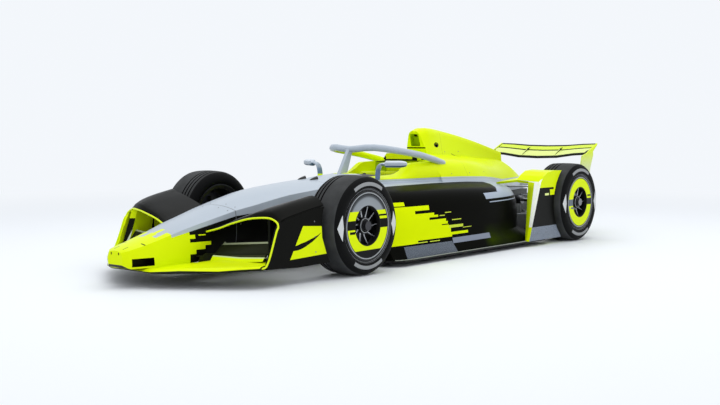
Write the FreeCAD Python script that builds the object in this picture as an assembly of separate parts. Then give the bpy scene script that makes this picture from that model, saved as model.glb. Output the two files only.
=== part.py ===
import FreeCAD, Part
import math
import os

os.makedirs("parts", exist_ok=True)

# Single-seat open wheel racing car, in millimetres.
# X is the width, with the car's left on the plus side.  Y is the length, with
# the nose towards minus Y.  Z is the height above the ground.
# Stations along the car are written as distances behind the front axle.

# Whole car
overall_width = 1800.0
wheelbase = 3080.0
front_overhang = 1450.0
rear_overhang = 1010.0
overall_length = front_overhang + wheelbase + rear_overhang
front_axle_y = -overall_length / 2.0 + front_overhang

# The tables are drawn for a nose tip, a rear axle and a tail end at these
# stations.  The nose, the middle and the tail stretch to the sizes above, and
# what stands round the wheels keeps its form.
nose_station = -1450.0
rear_axle = 3080.0
tail_station = 4090.0
nose_stretch_end = -610.0
middle_stretch = (700.0, 2200.0)
tail_stretch_start = 3480.0

# Wheels and tyres
front_tyre_radius = 345.0
front_tyre_width = 295.0
rear_tyre_radius = 355.0
rear_tyre_width = 320.0
front_wheel_inset = 5.0
rim_seat_radius = 224.0
rim_flange_radius = 243.0
rim_wall = 13.0
hub_radius = 58.0
spoke_count = 10
spoke_width = 15.0
spoke_depth = 22.0
cover_inner_radius = 132.0
cover_thickness = 6.0
stub_radius = 30.0
running_clearance = 0.05
nut_radius = 33.0
nut_length = 26.0

# Steering
kingpin_x = 700.0
kingpin_pin_radius = 9.0
steer_arm_reach = 105.0
tie_rod_radius = 9.0
moving_clearance = 5.0

# Panels and plates
skin = 12.0
floor_edge_x = 800.0
floor_top = 50.0
floor_thickness = 14.0
plank_thickness = 15.0
plank_half_width = 150.0
seam_station = -610.0
cell_end = 1600.0
cockpit_front = 800.0
cockpit_rear = 1545.0
cockpit_half_width = 225.0
cockpit_floor = 110.0
sidepod_front = 440.0
sidepod_rear = 2620.0
intake_depth = 45.0
head_block_x = 155.0
head_block_front = 1500.0
side_vent_radius = 19.0
nose_duct_x = 92.0
flap_inner_x = 272.0
vane_x = 228.0
endplate_x = 550.0
jack_bar_radius = 10.0
jack_bar_reach = 90.0
jack_bar_station = 3930.0
jack_bar_height = 225.0


battery_box = (-300.0, 300.0, cell_end, 2300.0, floor_top, 450.0)
drive_box = (-190.0, 190.0, 2300.0, 3330.0, floor_top, 450.0)


def share_of(station, start, end):
    """How far a station lies from one station to another, held to 0 and 1."""
    return min(1.0, max(0.0, (station - start) / (end - start)))


def vec(x, y, z):
    """Point from width, station behind the front axle and height."""
    nose = share_of(y, nose_stretch_end, nose_station) * (nose_station + front_overhang)
    middle = share_of(y, *middle_stretch) * (wheelbase - rear_axle)
    longer_tail = rear_axle + rear_overhang - tail_station
    tail = share_of(y, tail_stretch_start, tail_station) * longer_tail
    return FreeCAD.Vector(x, y - nose + middle + tail + front_axle_y, z)


def save(name, shape):
    """Write one named piece as a STEP file."""
    shape.exportStep("parts/" + name + ".step")


def mirrored(shape):
    """The same piece on the other side of the car."""
    return shape.mirror(FreeCAD.Vector(0, 0, 0), FreeCAD.Vector(1, 0, 0))


def spline_edge(points):
    """A smooth edge through points, or a straight one through two."""
    if len(points) == 2:
        return Part.makeLine(points[0], points[1])
    curve = Part.BSplineCurve()
    curve.interpolate(points)
    return curve.toShape()


def wire_of(runs):
    """A closed wire from runs of points that meet end to end."""
    return Part.Wire([spline_edge(run) for run in runs])


def polygon(points):
    """A closed straight-sided wire."""
    return Part.makePolygon(list(points) + [points[0]])


def loft(wires, ruled=False):
    """A solid through closed wires."""
    return Part.makeLoft(wires, True, ruled)


def prism(points, along):
    """A straight-sided outline pushed along a vector."""
    return Part.Face(polygon(points)).extrude(along)


def side_plate(outline, x_inner, x_outer):
    """An upright plate from an outline of stations and heights."""
    points = [vec(x_inner, y, z) for y, z in outline]
    return prism(points, FreeCAD.Vector(x_outer - x_inner, 0, 0))


def box(x0, x1, y0, y1, z0, z1):
    """A box between two corners."""
    corner = vec(x0, y0, z0)
    return Part.makeBox(x1 - x0, vec(x0, y1, z0).y - corner.y, z1 - z0, corner)


def rod(start, end, radius):
    """A round bar between two points."""
    along = end - start
    return Part.makeCylinder(radius, along.Length, start, along)


def bar_x(radius, length, x, y, z):
    """A round bar from a point towards plus X."""
    return Part.makeCylinder(radius, length, vec(x, y, z), FreeCAD.Vector(1, 0, 0))


def bar_z(radius, length, x, y, z):
    """A round bar from a point upwards."""
    return Part.makeCylinder(radius, length, vec(x, y, z))


def flat_arm(start, end, width, height):
    """A streamlined arm: a flattened oval bar between two points."""
    along = end - start
    axis = FreeCAD.Vector(along).normalize()
    side = axis.cross(FreeCAD.Vector(0, 0, 1)).normalize()
    up = side.cross(axis).normalize()
    rings = []
    for place in (start, end):
        ring = []
        for step in range(8):
            angle = 2.0 * math.pi * step / 8.0
            across = side * (width / 2.0 * math.cos(angle))
            over = up * (height / 2.0 * math.sin(angle))
            ring.append(place + across + over)
        rings.append(polygon(ring))
    return loft(rings, True)


def round_section(centre, along, radius):
    """A round wire square to a direction, its start kept to the top."""
    axis = FreeCAD.Vector(along).normalize()
    side = axis.cross(FreeCAD.Vector(0, 0, 1)).normalize()
    up = side.cross(axis).normalize()
    points = []
    for step in range(12):
        angle = 2.0 * math.pi * step / 12.0
        points.append(centre + up * (radius * math.cos(angle)) + side * (radius * math.sin(angle)))
    curve = Part.BSplineCurve()
    curve.interpolate(points, PeriodicFlag=True)
    return Part.Wire([curve.toShape()])


def fuse_all(shapes):
    """Join a list of solids into one."""
    whole = shapes[0]
    if len(shapes) > 1:
        whole = whole.multiFuse(shapes[1:])
    return whole.removeSplitter()


def aerofoil(x, le, te, thickness):
    """One chordwise section of a wing, from leading to trailing edge."""
    dy = te[0] - le[0]
    dz = te[1] - le[1]
    chord = math.hypot(dy, dz)
    ny = -dz / chord
    nz = dy / chord
    def at(share, lift):
        return vec(x, le[0] + dy * share + ny * lift, le[1] + dz * share + nz * lift)
    half = thickness / 2.0
    tail = 2.0
    upper = [at(0.0, 0.0), at(0.03, half * 0.55), at(0.25, half), at(0.62, half * 0.75)]
    upper.append(at(1.0, tail))
    lower = [at(1.0, -tail), at(0.62, -half * 0.75), at(0.25, -half)]
    lower += [at(0.03, -half * 0.55), at(0.0, 0.0)]
    return wire_of([upper, [upper[-1], lower[0]], lower])


def wing(stations, thickness, ruled=False):
    """A wing through chordwise sections given as (x, leading, trailing)."""
    wires = [aerofoil(x, le, te, thickness) for x, le, te in stations]
    return loft(wires, ruled)


def between(rows, parts):
    """The rows of a table with evenly blended ones added between them.

    Each row is a station followed by pairs. Every number follows a smooth
    curve along the stations that never passes beyond its neighbours.
    """
    keys = [row[0] for row in rows]
    flat = [[number for pair in row[1:] for number in pair] for row in rows]
    last = len(rows) - 1
    rises = []
    for i in range(last):
        run = keys[i + 1] - keys[i]
        rises.append([(b - a) / run for a, b in zip(flat[i], flat[i + 1])])
    slopes = [rises[0]]
    for before, after in zip(rises, rises[1:]):
        slopes.append([2 * a * b / (a + b) if a * b > 0 else 0.0 for a, b in zip(before, after)])
    slopes.append(rises[-1])
    full = []
    for i in range(last):
        run = keys[i + 1] - keys[i]
        for step in range(parts):
            t = step / float(parts)
            h1 = 2 * t ** 3 - 3 * t ** 2 + 1
            h2 = t ** 3 - 2 * t ** 2 + t
            h3 = 3 * t ** 2 - 2 * t ** 3
            h4 = t ** 3 - t ** 2
            line = []
            for a, b, sa, sb in zip(flat[i], flat[i + 1], slopes[i], slopes[i + 1]):
                line.append(h1 * a + h2 * run * sa + h3 * b + h4 * run * sb)
            pairs = list(zip(line[0::2], line[1::2]))
            full.append([keys[i] + run * t] + pairs)
    full.append(rows[-1])
    return full


def both_sides(stations):
    """Mirror a list of outboard stations to span the whole car."""
    left = [(-x, le, te) for x, le, te in reversed(stations) if x > 0.0]
    return left + list(stations)


# station, then crown, ridge, upper side, side and floor as half width and height
nose_table = [
    (nose_station, (0.0, 238.0), (62.0, 228.0), (70.0, 210.0), (74.0, 185.0), (64.0, 150.0)),
    (-1414.0, (0.0, 250.0), (98.0, 240.0), (106.0, 218.0), (114.0, 180.0), (112.0, 126.0)),
    (-1272.0, (0.0, 290.0), (121.0, 275.0), (130.0, 245.0), (142.0, 195.0), (150.0, 126.0)),
    (-1071.0, (0.0, 348.0), (141.0, 331.0), (152.0, 290.0), (166.0, 225.0), (172.0, 128.0)),
    (-954.0, (0.0, 384.0), (160.0, 365.0), (171.0, 320.0), (183.0, 250.0), (184.0, 132.0)),
    (-810.0, (0.0, 424.0), (180.0, 401.0), (190.0, 355.0), (198.0, 285.0), (192.0, 150.0)),
    (seam_station, (0.0, 484.0), (210.0, 452.0), (217.0, 401.0), (220.0, 325.0), (200.0, 178.0)),
]

cell_table = [
    nose_table[-1],
    (-440.0, (0.0, 530.0), (240.0, 485.0), (247.0, 430.0), (250.0, 350.0), (212.0, 190.0)),
    (-164.0, (0.0, 582.0), (276.0, 538.0), (284.0, 475.0), (286.0, 390.0), (226.0, 194.0)),
    (100.0, (0.0, 611.0), (284.0, 564.0), (294.0, 500.0), (297.0, 410.0), (235.0, 186.0)),
    (420.0, (0.0, 636.0), (284.0, 592.0), (300.0, 530.0), (310.0, 430.0), (262.0, 120.0)),
    (700.0, (0.0, 660.0), (278.0, 620.0), (316.0, 570.0), (332.0, 450.0), (300.0, floor_top)),
    (cockpit_front, (0.0, 668.0), (272.0, 632.0), (330.0, 590.0), (338.0, 480.0), (310.0, floor_top)),
    (1080.0, (0.0, 674.0), (274.0, 640.0), (340.0, 600.0), (340.0, 480.0), (312.0, floor_top)),
    (1180.0, (0.0, 692.0), (276.0, 672.0), (342.0, 622.0), (341.0, 480.0), (312.0, floor_top)),
    (1300.0, (0.0, 735.0), (278.0, 738.0), (345.0, 655.0), (342.0, 480.0), (312.0, floor_top)),
    (cell_end, (0.0, 752.0), (280.0, 748.0), (346.0, 662.0), (342.0, 480.0), (312.0, floor_top)),
]
loft_parts = 3


def body_section(row):
    """One closed cross-section of the nose or the survival cell."""
    y, (_, crown), (rw, rz), (uw, uz), (sw, sz), (fw, fz) = row
    near_crown = rz + (crown - rz) * 0.72
    top = [vec(-rw, y, rz), vec(-rw * 0.55, y, near_crown), vec(0, y, crown)]
    top += [vec(rw * 0.55, y, near_crown), vec(rw, y, rz)]
    right = [vec(rw, y, rz), vec(uw, y, uz), vec(sw, y, sz), vec(fw, y, fz)]
    left = [vec(-fw, y, fz), vec(-sw, y, sz), vec(-uw, y, uz), vec(-rw, y, rz)]
    return wire_of([top, right, [right[-1], left[0]], left])


def body_loft(table, section):
    """A solid through the sections of a table and the blended ones."""
    return loft([section(row) for row in between(table, loft_parts)], True)


def nose_cone():
    """The front body ahead of the seam, with a slot duct in each flank."""
    body = body_loft(nose_table, body_section)
    outline = [(-1408.0, 138.0), (-1258.0, 138.0), (-1258.0, 188.0), (-1408.0, 188.0)]
    duct = side_plate(outline, nose_duct_x, 200.0)
    return body.cut(duct).cut(mirrored(duct))


def cockpit_space():
    """The room for the driver: opening, seat well and leg tunnel."""
    well = []
    for z, grow in ((cockpit_floor, -35.0), (420.0, 0.0), (780.0, 8.0)):
        w = cockpit_half_width + grow
        front = cockpit_front - grow
        rear = cockpit_rear + grow
        points = [
            vec(-w * 0.45, front, z),
            vec(w * 0.45, front, z),
            vec(w, front + 130.0, z),
            vec(w, rear - 90.0, z),
            vec(w * 0.62, rear, z),
            vec(-w * 0.62, rear, z),
            vec(-w, rear - 90.0, z),
            vec(-w, front + 130.0, z),
        ]
        well.append(polygon(points))
    tunnel = box(-165.0, 165.0, -150.0, cockpit_front + 160.0, 250.0, 500.0)
    return loft(well, True).fuse(tunnel)


def survival_cell():
    """The driver's cell with its open cockpit and leg tunnel."""
    return body_loft(cell_table, body_section).cut(cockpit_space())


# station, then half widths and heights from the spine out to the low edge
cover_table = [
    (cell_end, (0.0, 815.0), (120.0, 811.0), (200.0, 797.0), (270.0, 752.0), (342.0, 662.0), (388.0, 572.0)),
    (1760.0, (0.0, 822.0), (120.0, 804.0), (200.0, 778.0), (286.0, 746.0), (346.0, 664.0), (390.0, 566.0)),
    (2105.0, (0.0, 802.0), (100.0, 786.0), (180.0, 764.0), (270.0, 734.0), (336.0, 648.0), (382.0, 556.0)),
    (2427.0, (0.0, 782.0), (80.0, 765.0), (150.0, 740.0), (236.0, 700.0), (302.0, 614.0), (348.0, 530.0)),
    (2767.0, (0.0, 757.0), (60.0, 735.0), (110.0, 700.0), (176.0, 650.0), (236.0, 575.0), (286.0, 502.0)),
    (3073.0, (0.0, 735.0), (40.0, 708.0), (74.0, 668.0), (120.0, 613.0), (170.0, 545.0), (216.0, 482.0)),
    (3300.0, (0.0, 660.0), (30.0, 640.0), (55.0, 610.0), (90.0, 565.0), (125.0, 520.0), (150.0, 472.0)),
    (3500.0, (0.0, 552.0), (18.0, 544.0), (34.0, 530.0), (55.0, 510.0), (75.0, 490.0), (90.0, 466.0)),
]
cover_base = 450.0

# station, then half widths and heights of the air box and the fin behind it
fin_table = [
    (1705.0, (26.0, 1002.0), (46.0, 988.0), (72.0, 935.0), (94.0, 870.0), (112.0, 770.0)),
    (1820.0, (34.0, 1030.0), (66.0, 1008.0), (88.0, 940.0), (100.0, 870.0), (114.0, 770.0)),
    (2105.0, (22.0, 1000.0), (40.0, 974.0), (55.0, 920.0), (66.0, 860.0), (90.0, 755.0)),
    (2427.0, (12.0, 951.0), (26.0, 930.0), (36.0, 880.0), (45.0, 820.0), (66.0, 725.0)),
    (2767.0, (8.0, 885.0), (16.0, 869.0), (22.0, 830.0), (28.0, 780.0), (45.0, 700.0)),
    (3130.0, (6.0, 802.0), (10.0, 790.0), (13.0, 765.0), (16.0, 735.0), (22.0, 670.0)),
]
air_box_lean = 0.27


def cover_section(row):
    """One cross-section of the cover, flat on its base."""
    y = row[0]
    side = [vec(w, y, z) for w, z in row[1:]]
    other = [vec(-w, y, z) for w, z in reversed(row[2:])]
    low = vec(row[-1][0], y, cover_base)
    low_other = vec(-row[-1][0], y, cover_base)
    over = other + side
    return wire_of([over, [side[-1], low], [low, low_other], [low_other, other[0]]])


def fin_section(row):
    """One cross-section of the air box or the fin; the front ones lean."""
    first, second = fin_table[0][0], fin_table[1][0]
    share = max(0.0, (second - row[0]) / (second - first))
    lean = air_box_lean * share
    top_z = row[1][1]
    side = [vec(w, row[0] + (top_z - z) * lean, z) for w, z in row[1:]]
    other = [vec(-w, row[0] + (top_z - z) * lean, z) for w, z in reversed(row[1:])]
    return wire_of([other, [other[-1], side[0]], side, [side[-1], other[0]]])


def intake_outline(push):
    """The tall rounded recess in the front of the air box."""
    half = [(47.0, 872.0), (47.0, 915.0), (43.0, 952.0), (27.0, 978.0)]
    points = [(-w, z) for w, z in half] + list(reversed(half))
    crest = fin_table[0][1][1]
    return polygon([vec(w, fin_table[0][0] + (crest - z) * air_box_lean + push, z) for w, z in points])


def engine_cover(cell):
    """Cover with the shoulders, the air box in front and the fin behind."""
    body = body_loft(cover_table, cover_section).fuse(body_loft(fin_table, fin_section))
    front = [(-head_block_x, 752.0), (head_block_x, 752.0), (head_block_x, 790.0)]
    front += [(head_block_x - 22.0, 813.0), (22.0 - head_block_x, 813.0), (-head_block_x, 790.0)]
    points = [vec(x, head_block_front, z) for x, z in front]
    block_length = vec(0, cell_end + 60.0, 0) - vec(0, head_block_front, 0)
    body = body.fuse(prism(points, block_length))
    pocket = box(head_block_x + 8.0, 242.0, cell_end - 1.0, cell_end + 70.0, 756.0, 783.0)
    recess = loft([intake_outline(-40.0), intake_outline(intake_depth)], True)
    feed = Part.makeCylinder(12.0, 90.0, vec(24.0, 1740.0, 893.0), FreeCAD.Vector(0, 1, 0))
    vent = bar_x(side_vent_radius, 60.0, 62.0, 1925.0, 882.0)
    for tool in (recess, feed, vent, mirrored(vent), pocket, mirrored(pocket), cell):
        body = body.cut(tool)
    return sorted(body.Solids, key=lambda s: -s.Volume)[0]


# station, then the shoulder's half width and height and the outer half width and its height
sidepod_table = [
    (sidepod_front, (598.0, 520.0), (700.0, 155.0)),
    (700.0, (620.0, 535.0), (732.0, 155.0)),
    (1200.0, (628.0, 535.0), (742.0, 155.0)),
    (1700.0, (615.0, 530.0), (730.0, 155.0)),
    (2100.0, (572.0, 520.0), (690.0, 155.0)),
    (2400.0, (500.0, 508.0), (615.0, 155.0)),
    (sidepod_rear, (405.0, 492.0), (500.0, 155.0)),
]


def sidepod_section(row):
    """One cross-section of the left sidepod, from the cell outwards."""
    y, (sw, sz), (ow, oz) = row
    inner = 150.0
    skirt = ow + (floor_edge_x - 20.0 - ow) * 0.75
    crown = sz + 70.0
    top = [vec(inner, y, crown), vec(inner + (sw - inner) * 0.6, y, sz + 38.0), vec(sw, y, sz)]
    outer = [vec(sw, y, sz), vec(ow - 22.0, y, sz - 92.0), vec(ow - 4.0, y, 300.0), vec(ow, y, oz)]
    low = [vec(ow, y, oz), vec(skirt, y, floor_top)]
    base = [vec(skirt, y, floor_top), vec(inner, y, floor_top)]
    return wire_of([top, outer, low, base, [vec(inner, y, floor_top), vec(inner, y, crown)]])


def sidepod(cell, cover, inner_blocks):
    """Left sidepod, trimmed to the cell, the cover and the inner units."""
    body = body_loft(sidepod_table, sidepod_section)
    body = body.cut(cell)
    body = body.cut(cover)
    for block in inner_blocks:
        body = body.cut(block)
    mouth = [(400.0, 300.0), (640.0, 300.0), (590.0, 460.0), (400.0, 480.0)]
    points = [vec(x, sidepod_front - 1.0, z) for x, z in mouth]
    inlet = prism(points, FreeCAD.Vector(0, 140.0, 0))
    body = body.cut(inlet)
    solids = sorted(body.Solids, key=lambda s: -s.Volume)
    return solids[0]


def floor_plate():
    """The flat underfloor with the rear tyre cut-outs."""
    half = [
        (0.0, 380.0), (430.0, 395.0), (700.0, 420.0), (floor_edge_x, 520.0),
        (floor_edge_x, 2600.0), (730.0, rear_axle - rear_tyre_radius - 25.0),
        (550.0, rear_axle - rear_tyre_radius - 10.0), (550.0, 3250.0), (0.0, 3250.0),
    ]
    other = [(-x, y) for x, y in reversed(half[1:-1])]
    points = [vec(x, y, floor_top - floor_thickness) for x, y in half + other]
    return prism(points, FreeCAD.Vector(0, 0, floor_thickness))


def plank():
    """The skid board under the floor."""
    return box(-plank_half_width, plank_half_width, 480.0, 3200.0,
               floor_top - floor_thickness - plank_thickness, floor_top - floor_thickness)


def diffuser():
    """The rising tunnel roof behind the floor, with its fences."""
    roof = loft([
        polygon([vec(-550.0, 3250.0, 36.0), vec(550.0, 3250.0, 36.0),
                 vec(550.0, 3250.0, 50.0), vec(-550.0, 3250.0, 50.0)]),
        polygon([vec(-550.0, 3880.0, 236.0), vec(550.0, 3880.0, 236.0),
                 vec(550.0, 3880.0, 250.0), vec(-550.0, 3880.0, 250.0)]),
    ], True)
    fences = []
    for x in (-540.0, -270.0, -90.0, 80.0, 260.0, 530.0):
        outline = [(3250.0, 36.0), (3880.0, 240.0), (3880.0, 60.0), (3700.0, 40.0)]
        fences.append(side_plate(outline, x, x + 10.0))
    return fuse_all([roof] + fences)


# width, then leading and trailing edge of the front wing
lip = [
    (0.0, (-1345.0, 110.0), (-980.0, 128.0)),
    (200.0, (-1340.0, 106.0), (-960.0, 130.0)),
    (300.0, (-1287.0, 105.0), (-860.0, 148.0)),
    (400.0, (-1209.0, 108.0), (-800.0, 160.0)),
    (600.0, (-1066.0, 118.0), (-780.0, 162.0)),
    (762.0, (-933.0, 129.0), (-762.0, 158.0)),
]


def front_wing(nose):
    """The swept main plane, its raised rear lip and the tray's edge."""
    deck = wing(both_sides(lip), 26.0, True)
    raised = []
    for x, y, z in ((-700.0, -812.0, 191.0), (-500.0, -852.0, 177.0), (-flap_inner_x, -870.0, 163.0)):
        raised.append(polygon([vec(x, y - 34.0, z - 26.0), vec(x, y - 2.0, z + 16.0),
                               vec(x, y + 6.0, z + 12.0), vec(x, y + 4.0, z - 30.0)]))
    ridge = loft(raised, True)
    whole = deck.fuse(ridge).fuse(mirrored(ridge))
    return whole.cut(nose)


def front_wing_flap():
    """The second element with its end plate, vane and struts, left side."""
    flap = wing([
        (flap_inner_x, (-846.0, 173.0), (-766.0, 247.0)),
        (500.0, (-828.0, 186.0), (-760.0, 268.0)),
        (712.0, (-786.0, 200.0), (-742.0, 284.0)),
    ], 14.0, True)
    end_outline = [(-856.0, 170.0), (-846.0, 190.0), (-764.0, 258.0), (-752.0, 248.0), (-832.0, 168.0)]
    end = side_plate(end_outline, flap_inner_x - 6.0, flap_inner_x)
    vane_outline = [(-962.0, 128.0), (-948.0, 168.0), (-895.0, 190.0), (-838.0, 184.0), (-815.0, 158.0)]
    vane_outline += [(-850.0, 126.0), (-915.0, 112.0)]
    vane = side_plate(vane_outline, vane_x - 3.0, vane_x + 3.0)
    stay = flat_arm(vec(150.0, -930.0, 172.0), vec(vane_x, -915.0, 168.0), 46.0, 10.0)
    link = rod(vec(vane_x, -852.0, 177.0), vec(flap_inner_x + 12.0, -834.0, 185.0), 5.0)
    whole = flap
    for piece in (end, vane, stay, link):
        whole = whole.fuse(piece)
    return whole


# the fairing's plates turn in towards the front and stand a little wider at the foot
fairing_toe = 46.0 / 560.0
fairing_lean = 0.06
fairing_datum = -360.0
fairing_datum_z = 400.0
fairing_x = 798.0


def toed(x, y, z):
    """A point of the fairing, moved in ahead of its rear edge and out at its foot."""
    inward = (fairing_datum - y) * fairing_toe - (fairing_datum_z - z) * fairing_lean
    return vec(x - inward * x / fairing_x, y, z)


def fairing_rear_edge():
    """Stations and heights of the edge that follows the steered tyre."""
    edge = [(-330.0, 122.0), (-358.0, 180.0), (-392.0, 290.0), (-392.0, 400.0)]
    return edge + [(-376.0, 458.0), (fairing_datum, 492.0)]


# half width, then leading edge, two upper points and trailing edge
crest_table = [
    (150.0, (-850.0, 318.0), (-815.0, 338.0), (-620.0, 368.0), (-375.0, 408.0)),
    (300.0, (-822.0, 350.0), (-795.0, 368.0), (-620.0, 400.0), (-400.0, 434.0)),
    (400.0, (-811.0, 383.0), (-785.0, 408.0), (-620.0, 438.0), (-405.0, 470.0)),
    (550.0, (-806.0, 420.0), (-780.0, 450.0), (-620.0, 486.0), (-405.0, 522.0)),
    (650.0, (-789.0, 433.0), (-760.0, 474.0), (-620.0, 512.0), (-400.0, 548.0)),
    (715.0, (-766.0, 432.0), (-740.0, 474.0), (-610.0, 520.0), (-385.0, 564.0)),
    (760.0, (-756.0, 416.0), (-732.0, 450.0), (-600.0, 497.0), (-372.0, 545.0)),
    (792.0, (-752.0, 404.0), (-726.0, 428.0), (-590.0, 462.0), (-364.0, 508.0)),
]


def crest_section(row):
    """One chordwise section of the fairing's top skin."""
    x, lead, a, b, trail = row
    shares = (-0.6, 0.7, 0.3, 0.0)
    lift = [(y, (z, skin * (1.0 + share))) for (y, z), share in zip((lead, a, b, trail), shares)]
    crest = between(lift, 4)
    over = [toed(x, y, z) for y, (z, _) in crest]
    under = [toed(x, y + 2.0, z - thick) for y, (z, thick) in reversed(crest)]
    return polygon(over + under)


# plan of the inner wall with its slanted leading face, and its side outline
wall_plan = [(718.0, -778.0), (682.0, -750.0), (640.0, -404.0)]
wall_plan += [(652.0, -404.0), (694.0, -744.0), (724.0, -768.0)]
wall_side = [(-900.0, 150.0), (-900.0, 330.0), (-796.0, 415.0), (-764.0, 434.0), (-740.0, 448.0)]
wall_side += [(-404.0, 515.0), (-404.0, 170.0), (-600.0, 140.0)]
wall_slant = 0.19
wall_lean = 0.17


def front_fairing(nose, cell):
    """Left fairing: outer panel, top skin over the duct and inner wall."""
    outline = [(-880.0, 122.0), (-866.0, 165.0), (-846.0, 205.0), (-820.0, 268.0)]
    outline += [(-785.0, 360.0), (-760.0, 402.0), (-700.0, 430.0), (-560.0, 462.0), (-440.0, 485.0)]
    outline += list(reversed(fairing_rear_edge())) + [(-620.0, 112.0)]
    plate = [toed(fairing_x - 22.0, y, z) for y, z in outline]
    panel = prism(plate, FreeCAD.Vector(22.0, 0, 0))
    top = loft([crest_section(row) for row in between(crest_table, 2)], True)
    levels = []
    for z in (140.0, 530.0):
        drop = 440.0 - z
        levels.append(polygon([toed(x + drop * wall_lean, y - drop * wall_slant, z) for x, y in wall_plan]))
    wall = loft(levels, True)
    wall = wall.common(side_plate(wall_side, 500.0, 800.0))
    rim = [toed(x, -610.0, z) for x, z in ((650.0, 132.0), (790.0, 118.0), (790.0, 452.0), (665.0, 490.0))]
    closing = prism(rim, FreeCAD.Vector(0, 8.0, 0))
    whole = fuse_all([panel, top, wall, closing])
    for body in (nose, cell):
        whole = whole.cut(body)
    return sorted(whole.Solids, key=lambda s: -s.Volume)[0]


def rear_fairing(cover, pod):
    """Left fairing ahead of the rear tyre, bridged to the bodywork."""
    reach = rear_tyre_radius + 28.0
    def arc(z):
        return rear_axle - math.sqrt(max(reach * reach - (z - rear_tyre_radius) ** 2, 0.0))
    heights = [60.0, 150.0, 250.0, 355.0, 450.0, 540.0, 615.0]
    edge = [(arc(z), z) for z in heights] + [(2838.0, 651.0)]
    lead = [(2272.0, floor_top), (2350.0, 250.0), (2468.0, 558.0)]
    lead += [(2510.0, 606.0), (2590.0, 640.0), (2700.0, 652.0)]
    outline = lead + list(reversed(edge)) + [(arc(60.0), floor_top)]
    panel = side_plate(outline, 790.0, 826.0)
    inner = [(2440.0, 572.0), (2490.0, 612.0), (2580.0, 650.0), (2700.0, 658.0), (2832.0, 650.0)]
    outer = [(2468.0, 558.0), (2510.0, 606.0), (2590.0, 640.0), (2700.0, 652.0), (2836.0, 651.0)]
    skins = []
    for x, crest in ((600.0, inner), (800.0, outer)):
        over = [vec(x, y, z) for y, z in crest]
        under = [vec(x, y + 14.0, z - 2.0 * skin) for y, z in reversed(crest[:2])]
        under = [vec(x, y + 4.0, z - skin) for y, z in reversed(crest[2:])] + under
        skins.append(polygon(over + under))
    top = loft(skins, True)
    front = loft([
        polygon([vec(778.0, 2284.0, floor_top), vec(806.0, 2272.0, floor_top),
                 vec(806.0, 2292.0, floor_top), vec(778.0, 2304.0, floor_top)]),
        polygon([vec(706.0, 2452.0, 562.0), vec(806.0, 2466.0, 558.0),
                 vec(806.0, 2490.0, 558.0), vec(706.0, 2478.0, 562.0)]),
    ], True)
    bridge = loft([
        polygon([vec(395.0, 2432.0, 528.0), vec(395.0, 2424.0, 546.0), vec(395.0, 2500.0, 552.0),
                 vec(395.0, 2500.0, 538.0)]),
        polygon([vec(612.0, 2448.0, 554.0), vec(612.0, 2440.0, 572.0), vec(612.0, 2560.0, 600.0),
                 vec(612.0, 2560.0, 586.0)]),
    ], True)
    whole = fuse_all([panel, top, front, bridge]).cut(cover).cut(pod)
    return sorted(whole.Solids, key=lambda s: -s.Volume)[0]


# half width, then leading and trailing edge of the two rear wing elements
rear_main = [
    (0.0, (3850.0, 735.0), (3990.0, 808.0)),
    (220.0, (3850.0, 742.0), (3990.0, 813.0)),
    (400.0, (3850.0, 768.0), (3990.0, 830.0)),
    (endplate_x, (3850.0, 778.0), (3990.0, 840.0)),
]
rear_flap = [
    (0.0, (4003.0, 806.0), (tail_station - 1.0, 864.0)),
    (220.0, (4003.0, 811.0), (tail_station - 1.0, 868.0)),
    (400.0, (4003.0, 828.0), (tail_station - 1.0, 880.0)),
    (endplate_x, (4003.0, 838.0), (tail_station - 1.0, 885.0)),
]


slot_bracket_x = (-190.0, 190.0)


def rear_wing_planes():
    """The two elements, the lower one with the brackets that hold the upper."""
    upper = wing(both_sides(rear_flap), 15.0, True)
    lower = wing(both_sides(rear_main), 22.0, True)
    for x in slot_bracket_x:
        outline = [(3868.0, 748.0), (3880.0, 774.0), (3985.0, 828.0), (4036.0, 848.0)]
        outline += [(4042.0, 836.0), (3990.0, 806.0), (3900.0, 750.0)]
        plate = side_plate(outline, x - 4.0, x + 4.0)
        lower = lower.fuse(plate)
    return lower.cut(upper), upper


def rear_wing_supports():
    """Endplates from the diffuser up to the wing, with the slot brackets."""
    outline = [(3700.0, 120.0), (3880.0, 120.0), (3900.0, 500.0), (3930.0, 640.0), (3990.0, 770.0)]
    outline += [(3985.0, 806.0), (4070.0, 866.0), (tail_station - 8.0, 888.0), (3990.0, 850.0)]
    outline += [(3850.0, 788.0), (3760.0, 765.0), (3725.0, 640.0), (3700.0, 500.0)]
    plate = side_plate(outline, endplate_x, endplate_x + 14.0)
    return plate


halo_radius = 27.0
halo_half = [
    (0.0, 852.0, 852.0), (80.0, 856.0, 858.0), (150.0, 868.0, 866.0), (215.0, 895.0, 867.0),
    (266.0, 945.0, 860.0), (296.0, 1030.0, 848.0), (310.0, 1160.0, 832.0), (314.0, 1376.0, 802.0),
    (304.0, 1570.0, 766.0), (285.0, 1740.0, 730.0),
]


def halo_hoop(cover, cell):
    """Head guard: centre pillar and hoop round the opening."""
    path = [vec(-x, y, z) for x, y, z in reversed(halo_half[1:])]
    path += [vec(x, y, z) for x, y, z in halo_half]
    rings = []
    for i, place in enumerate(path):
        along = path[min(i + 1, len(path) - 1)] - path[max(i - 1, 0)]
        rings.append(round_section(place, along, halo_radius))
    hoop = loft(rings, True)
    foot = [(-16.0, 700.0), (16.0, 700.0), (16.0, 790.0), (-16.0, 790.0)]
    head = [(-16.0, 822.0), (16.0, 822.0), (16.0, 868.0), (-16.0, 868.0)]
    pillar_foot = polygon([vec(x, y, 645.0) for x, y in foot])
    pillar_head = polygon([vec(x, y, 852.0) for x, y in head])
    pillar = loft([pillar_foot, pillar_head], True)
    whole = hoop.fuse(pillar).cut(cover).cut(cell)
    return sorted(whole.Solids, key=lambda s: -s.Volume)[0]


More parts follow.
